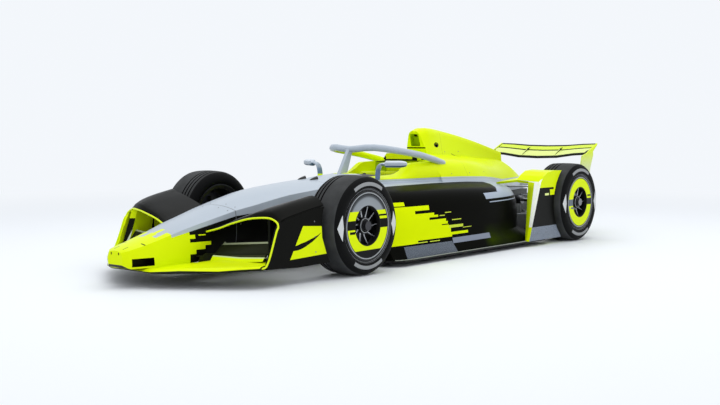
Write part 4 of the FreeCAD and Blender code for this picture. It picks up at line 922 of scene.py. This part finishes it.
def wheel_barrel(width, side, hub):
    """Barrel with both flanges, and the dished hub with its circle of drive pins."""
    h = width / 2.0
    barrel = [(-h + 0.010, 0.243), (-h + 0.022, 0.243), (-h + 0.024, 0.236), (-h + 0.029, 0.224), (-h + 0.07, 0.2238),
              (h - 0.07, 0.2238), (h - 0.029, 0.224), (h - 0.024, 0.236), (h - 0.022, 0.243), (h - 0.010, 0.243),
              (h - 0.0095, 0.2365), (h - 0.024, 0.208), (h - 0.06, 0.205), (-h + 0.06, 0.205), (-h + 0.024, 0.208),
              (-h + 0.010, 0.235)]
    boss = [(h - 0.074, 0.0305), (h - 0.034, 0.0305), (h - 0.034, 0.036), (h - 0.039, 0.040), (h - 0.039, 0.047),
            (h - 0.035, 0.050), (h - 0.036, 0.056), (h - 0.044, 0.058), (h - 0.074, 0.058)]
    parts = [revolved(barrel, hub, side, 96), revolved(boss, hub, side, 48)]
    pin = [(h - 0.041, 0.0028), (h - 0.0355, 0.0028), (h - 0.0345, 0.0018), (h - 0.0345, 0.0003), (h - 0.041, 0.0003)]
    pin_circle, first_pin, pin_count = 0.0435, 0.31, 10
    for angle in round_steps(pin_count) + first_pin:
        points, faces = revolved(pin, (0.0, pin_circle * math.cos(angle), pin_circle * math.sin(angle)), 1.0, 8)
        parts.append((shifted(points, hub, side), faces))
    return merged(parts)


class CAR_OT_fit_wheels(bpy.types.Operator):
    """Turned barrels, blade spokes and trim rings in place of the plain rims"""

    bl_idname = "racing_car.fit_wheels"
    bl_label = "Fit the wheels"

    def execute(self, context):
        wheels = context.scene.racing_wheels
        dark = satin("barrel lacquer", (0.010, 0.010, 0.011), 0.38, 0.4, 0.2)
        silver = satin("spoke lacquer", wheels.spoke, 0.28, 0.5, 0.55, 300.0)
        ring = satin("trim ring", (0.34, 0.36, 0.38), 0.35, 0.4, 0.3)
        for axle, hub, width in (("front", FRONT_HUB, 0.295), ("rear", REAR_HUB, 0.320)):
            spoke_points, spoke_faces = blade_spokes(width, wheels.spoke_count)
            h = width / 2.0
            lip = [(h - 0.0108, 0.2220), (h - 0.0088, 0.2228), (h - 0.0080, 0.2262), (h - 0.0088, 0.2296),
                   (h - 0.0108, 0.2304)]
            for name, side in SIDES:
                body = "wheel_%s_%s" % (axle, name)
                barrel = piece("rim_barrel_%s_%s" % (axle, name), wheel_barrel(width, side, hub), dark, body)
                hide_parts("rim_%s_%s" % (axle, name))
                shape = shifted(spoke_points, hub, side), spoke_faces
                blades = piece("rim_spokes_%s_%s" % (axle, name), shape, silver, body)
                trim = piece("rim_trim_%s_%s" % (axle, name), revolved(lip, hub, side, 96), ring, body)
        return {"FINISHED"}


def pod_surface(inner, outer, depth, height, rear_cut, rows=25, columns=28):
    """A rounded housing: superellipse sections with power 2.6 along the line from inner to outer, which close at the
    outer end and draw in to about half at the inner one; rear_cut flattens the rear half."""
    t = np.linspace(0.0, 1.0, rows)
    inner, outer = np.asarray(inner, float), np.asarray(outer, float)
    middle = inner + (outer - inner) * t[:, None]
    full_size = np.minimum(1.0, np.power(1.0 - np.clip((t - 0.55) / 0.45, 0, 1) ** 3.0, 1 / 2.4))
    full_size *= np.power(np.clip(t / 0.08, 0.05, 1.0), 0.25)
    full_size = np.maximum(full_size, 0.02)
    y, z = rounded(round_steps(columns), 2 / 2.6)
    y = np.minimum(y, rear_cut)
    along = (outer - inner) / np.linalg.norm(outer - inner)
    back = np.cross(UP, along)
    points = (middle[:, None, :] + back * (depth * full_size[:, None] * y)[:, :, None]
              + UP * (height * full_size[:, None] * z)[:, :, None])
    return points.reshape(-1, 3), tube_faces(rows, columns)


def bladed(path, thick, chord, count=16):
    """A blade along a path: each ring is an ellipse whose long half axis is the chord, laid fore and aft."""
    along = np.gradient(path, axis=0)
    over = np.cross(along, [0.0, 1.0, 0.0])
    over /= np.linalg.norm(over, axis=1)[:, None]
    turn = round_steps(count)
    points = (path[:, None, :] + over[:, None, :] * (thick[:, None] * np.cos(turn))[:, :, None]
              + np.array([0.0, 1.0, 0.0]) * (chord[:, None] * np.sin(turn))[:, :, None])
    return points.reshape(-1, 3), tube_faces(len(path), count)


class CAR_OT_fit_mirrors(bpy.types.Operator):
    """Rounded mirror pods on arched stalks, with their glass"""

    bl_idname = "racing_car.fit_mirrors"
    bl_label = "Fit the mirrors"

    def execute(self, context):
        paint = context.scene.racing_paint
        finish = gloss_paint("mirror paint", mirror_colours, paint, rough=0.24)
        glass = Finish("mirror glass", metallic=1.0, specular_ior_level=0.5)
        glass.colour(glass.tint((0.70, 0.73, 0.76), 0.02, 6.0))
        glass.roughness(glass.math("MULTIPLY_ADD", glass.noise(30.0), 0.03, 0.03))
        pod = pod_surface((0.372, -0.4945, 0.7405), (0.533, -0.4155, 0.7415), 0.0300, 0.0265, 0.72)
        stalk = smooth_path([(0.299, -0.490, 0.592), (0.300, -0.491, 0.640), (0.306, -0.492, 0.690),
                             (0.321, -0.493, 0.724), (0.346, -0.492, 0.738), (0.386, -0.488, 0.741)], 28)
        arm = bladed(stalk, np.linspace(0.0085, 0.0130, 28), np.linspace(0.031, 0.0265, 28))
        pods = piece("mirror_pods", merged(both_halves(pod) + both_halves(arm)), finish, "chassis")
        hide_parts("mirrors")
        half_width, half_height, steps = 0.066, 0.0185, 36
        u, v = rounded(round_steps(steps), 0.6)
        along = np.array([0.898, 0.4405, 0.0])
        back = np.array([-0.4405, 0.898, 0.0])
        centre = np.array([0.4435, -0.4595, 0.741]) + back * 0.0213
        rings = [centre + back * lift + share * (along * (half_width * u)[:, None] + UP * (half_height * v)[:, None])
                 for share, lift in ((1.0, 0.0), (1.0, 0.0012), (0.94, 0.0018), (0.02, 0.0018))]
        plate = np.concatenate(rings), tube_faces(len(rings), steps)
        piece("mirror_glass", merged(both_halves(plate)), glass.material, "chassis")
        return {"FINISHED"}


def strip_section(width, height):
    """A flat strip with rounded edges."""
    w, h = width / 2.0, height / 2.0
    return [(-w, -h * 0.4), (-w * 0.9, -h), (w * 0.9, -h), (w, -h * 0.4), (w, h * 0.4), (w * 0.9, h), (-w * 0.9, h),
            (-w, h * 0.4)]


def both_halves(shape):
    """A left-hand shape and its mirror image on the right."""
    points, faces = shape
    return [shape, (points * MIRROR, faces)]


class CAR_OT_lay_trim(bpy.types.Operator):
    """Painted edge strips round the front openings and along the floor, and the casing's ribs"""

    bl_idname = "racing_car.lay_trim"
    bl_label = "Lay the trim"

    def execute(self, context):
        paint = context.scene.racing_paint
        lime = satin("lime edge strip", paint.lime, 0.35, 0.25)
        edge = smooth_path([
            (0.190, -2.1745, 0.326), (0.287, -2.1490, 0.3525), (0.382, -2.1370, 0.3855), (0.524, -2.1310, 0.4225),
            (0.620, -2.1135, 0.4350), (0.684, -2.0920, 0.4350), (0.722, -2.0840, 0.4240), (0.7530, -2.0835, 0.4050),
            (0.7660, -2.0900, 0.3800), (0.7690, -2.1080, 0.3550), (0.7700, -2.1420, 0.2680), (0.7710, -2.1680, 0.2050),
            (0.7710, -2.1880, 0.1650), (0.7690, -2.2050, 0.1400), (0.7600, -2.2280, 0.1320),
            (0.7420, -2.2500, 0.1300)], 96)
        strips = merged(both_halves(swept(edge, round_section(0.0062))))
        piece("opening_edge_strips", strips, lime, "chassis")
        cast = satin("casing rib", (0.42, 0.44, 0.46), 0.4, 0.4, 0.3)
        rib = [(0.1885, 1.885, 0.284), (0.1885, 1.887, 0.250), (0.1885, 1.893, 0.222), (0.1885, 1.915, 0.2145),
               (0.1885, 1.985, 0.2145), (0.1885, 2.005, 0.223), (0.1885, 2.010, 0.250), (0.1885, 2.012, 0.284)]
        ribs = merged(both_halves(swept(smooth_path(rib, 36), round_section(0.0055))))
        piece("casing_ribs", ribs, cast, "chassis")
        pale = satin("floor edge strip", (0.34, 0.37, 0.32), 0.4, 0.3)
        run = smooth_path([(0.7450, -0.8790, 0.0530), (0.7850, -0.8150, 0.0520), (0.7975, -0.7000, 0.0520),
                           (0.7975, -0.3000, 0.0520), (0.7975, 0.2000, 0.0520), (0.7975, 0.9500, 0.0520)], 40)
        strips = merged(both_halves(swept(run, strip_section(0.005, 0.005))))
        piece("floor_edge_strips", strips, pale, "chassis")
        return {"FINISHED"}


def on_node(node, place, aim):
    """Where a ray from a place along a direction meets a node, and the way the surface faces there."""
    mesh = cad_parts[node].data
    tree = BVHTree.FromPolygons([v.co for v in mesh.vertices], [tuple(p.vertices) for p in mesh.polygons])
    hit, normal, _, _ = tree.ray_cast(Vector(place), Vector(aim).normalized())
    if hit is None:
        raise RuntimeError("no surface of %s at %s" % (node, place))
    return np.array(hit), np.array(normal)


def fastener(centre, normal, radius):
    """A flush screw: a low dome with a round socket, carried round the surface's normal."""
    normal = normal / np.linalg.norm(normal)
    first = np.cross(normal, UP if abs(normal[2]) < 0.9 else [1.0, 0.0, 0.0])
    first /= np.linalg.norm(first)
    second = np.cross(normal, first)
    turn = round_steps(12)
    rows = [(1.0, -0.0006), (1.0, 0.0006), (0.86, 0.0013), (0.50, 0.0014), (0.46, 0.0003), (0.02, 0.0003)]
    points = [centre + normal * lift + radius * share * (first * np.cos(turn)[:, None] + second * np.sin(turn)[:, None])
              for share, lift in rows]
    return np.concatenate(points), tube_faces(len(rows), 12)


class CAR_OT_fit_fasteners(bpy.types.Operator):
    """Flush screws along the panel joints"""

    bl_idname = "racing_car.fit_fasteners"
    bl_label = "Fit the fasteners"

    def execute(self, context):
        metal = satin("screw metal", (0.20, 0.20, 0.21), 0.35, 0.5, 0.8)
        small, large = 0.0045, 0.005
        aims = []
        for node, y in (("nose_cone", -1.965), ("survival_cell", -1.895)):
            aims += [(node, (x, y, 1.0), DOWN, small) for x in (0.08, 0.17)]
            aims.append((node, (1.0, y, 0.36), INWARD, small))
        aims += [("front_fairing_left", (1.0, -1.775, z), INWARD, large) for z in (0.20, 0.30, 0.40)]
        aims += [("rear_fairing_left", (1.0, y, 0.11), INWARD, large) for y in (0.98, 1.10, 1.24)]
        aims += [("floor", (0.775, y, 1.0), DOWN, large) for y in (-0.60, -0.35, 0.0, 0.35, 0.70, 0.92)]
        aims += [("engine_cover", (1.0, y, 0.64), INWARD, small) for y in (0.45, 0.75, 1.05)]
        aims += [("engine_cover", (1.0, y, 0.82), INWARD, small) for y in (0.75, 1.00)]
        aims += [("survival_cell", (0.20, y, 1.0), DOWN, small) for y in (-0.95, -0.70)]
        aims += [("rear_wing_endplates", (1.0, 2.50, z), INWARD, large) for z in (0.30, 0.45, 0.60)]
        parts = []
        for node, place, aim, radius in aims:
            centre, normal = on_node(node, place, aim)
            parts += both_halves(fastener(centre, normal if np.dot(normal, aim) < 0 else -normal, radius))
        piece("panel_screws", merged(parts), metal, "chassis")
        return {"FINISHED"}


def pad_section(count=20):
    """A cushion's section in units of its half sizes: a superellipse with power 3.2 whose top is crowned."""
    across, over = rounded(round_steps(count), 2 / 3.2)
    over = np.where(over > 0, over * (1.0 - 0.10 * across ** 2), over)
    return np.stack([across, over], -1)


def headrest_pad():
    """The pad as one bent roll: its middle line runs from one front end round behind the head to the other; the
    half width and half height taper at both ends, and five sewn channels pinch it, two on each side and one behind."""
    left = [(0.2000, -0.1000), (0.1990, -0.0300), (0.1985, 0.0500), (0.1900, 0.1150), (0.1550, 0.1700),
            (0.0850, 0.1940)]
    plan = left + [(0.0, 0.1980)] + [(-x, y) for x, y in reversed(left)]
    line = smooth_path([(x, y, 0.612) for x, y in plan], 121)
    t = np.linspace(-1.0, 1.0, len(line))
    ends = np.power(np.clip((1.0 - np.abs(t)) / 0.05, 0.0, 1.0), 0.5)
    seams = 1.0 - 0.09 * sum(np.exp(-((t - place) / 0.008) ** 2) for place in (-0.62, -0.30, 0.0, 0.30, 0.62))
    half_width, half_height = 0.0285, 0.0485
    swell = (0.12 + 0.88 * ends) * seams
    return swept(line, pad_section(), np.stack([half_width * swell, half_height * swell], -1))


def on_column(points):
    """Points written across, up and towards the driver, placed on the head of the steering column."""
    points = np.asarray(points, float)
    axis = np.array([0.0, 0.34, 0.115]) / math.hypot(0.34, 0.115)
    up = np.array([0.0, -axis[2], axis[1]])
    centre = np.array([0.0, -0.42, 0.585]) + axis * 0.006
    return centre + points[..., 0:1] * np.array([1.0, 0.0, 0.0]) + points[..., 1:2] * up + points[..., 2:3] * axis


def plate_rings(outline, rows):
    """A rounded plate from its outline: each row scales the outline towards its middle and lifts it."""
    outline = np.asarray(outline, float)
    middle = outline.mean(0)
    points = [np.concatenate([middle + (outline - middle) * share, np.full((len(outline), 1), lift)], 1)
              for share, lift in rows]
    return np.concatenate(points), tube_faces(len(rows), len(outline))


def rounded_box(half_width, half_height, power=5.0, count=32):
    """A superellipse outline."""
    across, over = rounded(round_steps(count), 2 / power)
    return np.stack([half_width * across, half_height * over], -1)


class CAR_OT_fit_cockpit(bpy.types.Operator):
    """Sewn headrest, harness, steering wheel with its display, and the small sensor fins"""

    bl_idname = "racing_car.fit_cockpit"
    bl_label = "Fit the cockpit"

    def execute(self, context):
        self.fit_headrest(context.scene.racing_paint)
        self.fit_harness()
        self.fit_steering_wheel()
        self.fit_fins()
        return {"FINISHED"}

    def fit_headrest(self, paint):
        cloth = Finish("sewn pad cover", specular_ior_level=0.2, sheen_weight=0.15)
        threads = 2600.0
        across = cloth.math("SINE", cloth.math("MULTIPLY", cloth.x, threads))
        along = cloth.math("SINE", cloth.math("MULTIPLY", cloth.math("ADD", cloth.y, cloth.z), threads))
        weave = cloth.math("MULTIPLY", across, along)
        cloth.colour(cloth.tint(tuple(c * 0.8 for c in paint.lime), 0.08, 30.0))
        cloth.roughness(cloth.math("MULTIPLY_ADD", cloth.noise(60.0), 0.1, 0.65))
        cloth.relief(cloth.math("ADD", weave, cloth.math("MULTIPLY", cloth.noise(40.0), 2.0)), 0.15, 0.0006)
        pad = piece("headrest_pad", headrest_pad(), cloth.material, "chassis")
        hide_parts("headrest")

    def fit_harness(self):
        webbing = Finish("harness webbing", specular_ior_level=0.2)
        rib = webbing.math("SINE", webbing.math("MULTIPLY", webbing.math("ADD", webbing.y, webbing.z), 1900.0))
        webbing.colour(webbing.mix(webbing.math("MULTIPLY_ADD", rib, 0.5, 0.5), (0.010, 0.010, 0.011),
                                   (0.022, 0.022, 0.024)))
        webbing.roughness(webbing.math("MULTIPLY_ADD", webbing.noise(80.0), 0.1, 0.7))
        webbing.relief(rib, 0.3, 0.0005)
        thick = 0.003
        shoulder = smooth_path([(0.055, 0.150, 0.5470), (0.055, 0.120, 0.4950), (0.0495, 0.030, 0.3810),
                                (0.044, -0.080, 0.2600), (0.0275, -0.150, 0.1900), (0.01925, -0.190, 0.1730)], 30)
        straps = both_halves(swept(shoulder, strip_section(0.046, thick)))
        for x, y in ((0.145, -0.215), (0.06, -0.40)):
            path = smooth_path([(0.012, -0.200, 0.1745), (x * 0.5, (y - 0.2) * 0.5, 0.1775), (x, y, 0.1785)], 12)
            straps += both_halves(swept(path, strip_section(0.040, thick)))
        piece("harness_straps", merged(straps), webbing.material, "chassis")
        buckle, faces = plate_rings(rounded_box(0.030, 0.030, 2.0, 28), [
            (0.85, 0.0), (1.0, 0.003), (1.0, 0.012), (0.9, 0.016), (0.62, 0.017), (0.58, 0.0155), (0.3, 0.0155),
            (0.05, 0.0155)])
        buckle += np.array([0.0, -0.195, 0.1745])
        metal = satin("buckle metal", (0.22, 0.22, 0.23), 0.3, 0.5, 0.9)
        piece("harness_buckle", (buckle, faces), metal, "chassis")

    def fit_steering_wheel(self):
        shell = carbon_cloth("wheel shell", (0.016, 0.016, 0.018), 0.3)
        body, faces = plate_rings(rounded_box(0.086, 0.056, 5.0, 40), [
            (0.90, -0.001), (1.0, 0.004), (1.0, 0.018), (0.97, 0.023), (0.90, 0.0245), (0.05, 0.0245)])
        parts = [(on_column(body), faces)]
        shaft, faces = plate_rings(rounded_box(0.0088, 0.0088, 2.0, 20), [(1.0, -0.060), (1.0, 0.0)])
        parts.append((on_column(shaft), faces))
        for _, side in SIDES:
            link = [(side * 0.076, 0.033, 0.011), (side * 0.100, 0.034, 0.011), (side * 0.114, 0.033, 0.011)]
            points, faces = swept(smooth_path(link, 8), pad_section(16), (0.013, 0.009))
            parts.append((on_column(points), faces))
        body = piece("steering_wheel_shell", merged(parts), shell, "steering_wheel")
        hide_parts("steering_wheel")
        rubber = satin("grip rubber", (0.013, 0.013, 0.014), 0.75, 0.25, 0.0, 900.0)
        steps, columns = 25, 18
        t, turn = np.linspace(0.0, 1.0, steps), round_steps(columns)
        bow = np.sin(np.pi * t)
        fat = 0.0145 * (1.0 - 0.12 * np.cos(6.0 * np.pi * t)) * np.sqrt(np.clip(np.minimum(t, 1 - t) / 0.04, 0.02, 1.0))
        ring = np.stack([np.cos(turn), 0 * turn, np.sin(turn)], -1)
        grips = []
        for _, side in SIDES:
            line = np.stack([side * (0.112 + 0.004 * bow), -0.070 + 0.150 * t, 0.009 + 0.003 * bow], -1)
            points = line[:, None, :] + ring * fat[:, None, None]
            grips.append((on_column(points.reshape(-1, 3)), tube_faces(steps, columns)))
        piece("steering_wheel_grips", merged(grips), rubber, "steering_wheel")
        glass = Finish("display glass", specular_ior_level=0.5, coat_weight=0.5)
        glass.colour(glass.tint((0.006, 0.008, 0.012), 0.2, 60.0))
        glass.roughness(glass.math("MULTIPLY_ADD", glass.noise(40.0), 0.04, 0.08))
        screen, faces = plate_rings(rounded_box(0.048, 0.026, 8.0, 32), [
            (1.0, 0.0235), (1.0, 0.0258), (0.97, 0.0264), (0.03, 0.0264)])
        screen[:, 1] += 0.018
        shape = on_column(screen), faces
        piece("steering_wheel_display", shape, glass.material, "steering_wheel")
        knob_metal = satin("knob metal", (0.16, 0.16, 0.17), 0.35, 0.5, 0.7)
        knobs = []
        places = [(-0.068, 0.036), (0.068, 0.036), (-0.068, 0.012), (0.068, 0.012), (-0.058, -0.030), (-0.030, -0.034),
                  (0.0, -0.035), (0.030, -0.034), (0.058, -0.030), (0.0, -0.018)]
        for index, place in enumerate(places):
            size, tall = (0.0085, 0.009) if index in (4, 6, 8) else (0.0055, 0.0045)
            top = 0.0240 + tall
            knob, faces = plate_rings(rounded_box(size, size, 2.0, 16), [
                (1.0, 0.0235), (1.0, 0.0240 + tall * 0.8), (0.85, top), (0.3, top), (0.04, top)])
            knob[:, :2] += place
            knobs.append((on_column(knob), faces))
        piece("steering_wheel_knobs", merged(knobs), knob_metal, "steering_wheel")

    def fit_fins(self):
        """Two low black fins on the cell: a half ellipse in plan, rising to the rear and cut square there."""
        black = satin("sensor casing", (0.008, 0.008, 0.008), 0.35, 0.4)
        x, length = 0.062, 0.090
        t, turn = np.linspace(0.0, 1.0, 15)[:, None], round_steps(16)
        wide = 0.0155 * np.power(np.sin(np.pi * np.clip(t * 0.62 + 0.02, 0, 1)), 0.8) * np.where(t > 0.98, 0.6, 1.0)
        tall = 0.024 * np.power(t, 0.55) * np.where(t > 0.98, 0.7, 1.0) + 0.003
        middle, _ = on_node("survival_cell", (x, -0.976, 1.0), DOWN)
        fore, _ = on_node("survival_cell", (x, -1.02, 1.0), DOWN)
        base = fore[2] + (middle[2] - fore[2]) * t * length / 0.044 - 0.003
        points = np.stack([x + wide * np.cos(turn), -1.02 + length * t + 0 * turn,
                           base + tall * np.maximum(np.sin(turn), -0.25)], -1)
        fins = merged(both_halves((points.reshape(-1, 3), tube_faces(len(t), len(turn)))))
        piece("sensor_fins", fins, black, "chassis")


class CAR_OT_set_stage(bpy.types.Operator):
    """Camera, soft light and pale floor"""

    bl_idname = "racing_car.set_stage"
    bl_label = "Set the stage"

    def execute(self, context):
        stage = context.scene.racing_stage
        scene = context.scene
        scene.view_settings.view_transform = "Standard"
        camera = bpy.data.cameras.new("camera")
        camera.lens = stage.lens
        camera.sensor_width = 36.0
        camera.clip_end = 200.0
        eye = bpy.data.objects.new("camera", camera)
        eye.location = stage.camera_place
        eye.rotation_euler = stage.camera_turn
        scene.collection.objects.link(eye)
        scene.camera = eye
        lamp = bpy.data.lights.new("overhead lamp", "AREA")
        lamp.shape = "RECTANGLE"
        lamp.size, lamp.size_y = 7.0, 9.0
        lamp.energy = stage.lamp_power
        above = bpy.data.objects.new("overhead lamp", lamp)
        above.location = (0.5, -0.3, 5.0)
        scene.collection.objects.link(above)
        self.light_world(scene, stage)
        self.lay_floor(scene, stage)
        return {"FINISHED"}

    def light_world(self, scene, stage):
        """An even dome, brighter overhead, with a white background for camera and gloss."""
        world = bpy.data.worlds.new("studio")
        scene.world = world
        world.use_nodes = True
        tree = world.node_tree
        tree.nodes.clear()
        new, link = tree.nodes.new, tree.links.new
        place, split = new("ShaderNodeTexCoord"), new("ShaderNodeSeparateXYZ")
        link(place.outputs["Generated"], split.inputs[0])
        rise = new("ShaderNodeMapRange")
        low, high = stage.world_level * 0.84, stage.world_level * 1.06
        for socket, value in (("From Min", -0.1), ("From Max", 0.7), ("To Min", low), ("To Max", high)):
            rise.inputs[socket].default_value = value
        link(split.outputs[2], rise.inputs["Value"])
        dome, plain = new("ShaderNodeBackground"), new("ShaderNodeBackground")
        dome.inputs[0].default_value = (0.97, 0.985, 1.0, 1.0)
        link(rise.outputs[0], dome.inputs[1])
        plain.inputs[0].default_value = BACKGROUND
        path, mixed, out = new("ShaderNodeLightPath"), new("ShaderNodeMixShader"), new("ShaderNodeOutputWorld")
        seen, shown = new("ShaderNodeMath"), new("ShaderNodeMath")
        for node in (seen, shown):
            node.operation = "MAXIMUM"
        link(path.outputs["Is Camera Ray"], seen.inputs[0])
        link(path.outputs["Is Glossy Ray"], seen.inputs[1])
        link(seen.outputs[0], shown.inputs[0])
        link(path.outputs["Is Transmission Ray"], shown.inputs[1])
        link(shown.outputs[0], mixed.inputs[0])
        link(dome.outputs[0], mixed.inputs[1])
        link(plain.outputs[0], mixed.inputs[2])
        link(mixed.outputs[0], out.inputs[0])

    def lay_floor(self, scene, stage):
        """A wide floor that fades into the background with distance."""
        far_off = 40.0
        corners = [(x * far_off, y * far_off, 0.0) for x, y in ((-1, -1), (1, -1), (1, 1), (-1, 1))]
        mesh = bpy.data.meshes.new("floor")
        mesh.from_pydata(corners, [], [[0, 1, 2, 3]])
        item = bpy.data.objects.new("studio_floor", mesh)
        scene.collection.objects.link(item)
        finish = Finish("studio floor", specular_ior_level=0.2)
        finish.colour(stage.floor_colour)
        finish.roughness(0.6)
        nodes, links = finish.nodes, finish.links
        glow = nodes.new("ShaderNodeEmission")
        glow.inputs[0].default_value = BACKGROUND
        far = nodes.new("ShaderNodeMapRange")
        far.interpolation_type = "SMOOTHSTEP"
        far.inputs["From Min"].default_value = 3.0
        far.inputs["From Max"].default_value = 11.0
        links.new(finish.reach(finish.x, finish.y), far.inputs["Value"])
        mixed = nodes.new("ShaderNodeMixShader")
        links.new(far.outputs[0], mixed.inputs[0])
        links.new(finish.surface.outputs[0], mixed.inputs[1])
        links.new(glow.outputs[0], mixed.inputs[2])
        output = next(node for node in nodes if node.type == "OUTPUT_MATERIAL")
        links.new(mixed.outputs[0], output.inputs["Surface"])
        mesh.materials.append(finish.material)


class CAR_PT_panel(bpy.types.Panel):
    """Lists the steps that dress the car"""

    bl_idname = "CAR_PT_panel"
    bl_label = "Racing car"
    bl_space_type = "VIEW_3D"
    bl_region_type = "UI"
    bl_category = "Racing Car"

    def draw(self, context):
        for step in STEPS:
            self.layout.operator(step.bl_idname)
        for name in GROUPS:
            box = self.layout.box()
            settings = getattr(context.scene, name)
            for key in settings.__annotations__:
                box.prop(settings, key)


GROUPS = {"racing_paint": PaintSettings, "racing_wheels": WheelSettings, "racing_stage": StageSettings}
STEPS = (CAR_OT_paint_body, CAR_OT_fit_tyres, CAR_OT_fit_wheels, CAR_OT_fit_mirrors, CAR_OT_lay_trim,
         CAR_OT_fit_cockpit, CAR_OT_fit_fasteners, CAR_OT_set_stage)


def register():
    for group in GROUPS.values():
        bpy.utils.register_class(group)
    for name, group in GROUPS.items():
        setattr(bpy.types.Scene, name, bpy.props.PointerProperty(type=group))
    for step in STEPS:
        bpy.utils.register_class(step)
    bpy.utils.register_class(CAR_PT_panel)


def unregister():
    bpy.utils.unregister_class(CAR_PT_panel)
    for step in reversed(STEPS):
        bpy.utils.unregister_class(step)
    for name, group in GROUPS.items():
        delattr(bpy.types.Scene, name)
        bpy.utils.unregister_class(group)


def main():
    """Dress the car step by step."""
    register()
    for step in STEPS:
        area, name = step.bl_idname.split(".")
        getattr(getattr(bpy.ops, area), name)()


if __name__ == "__main__":
    main()
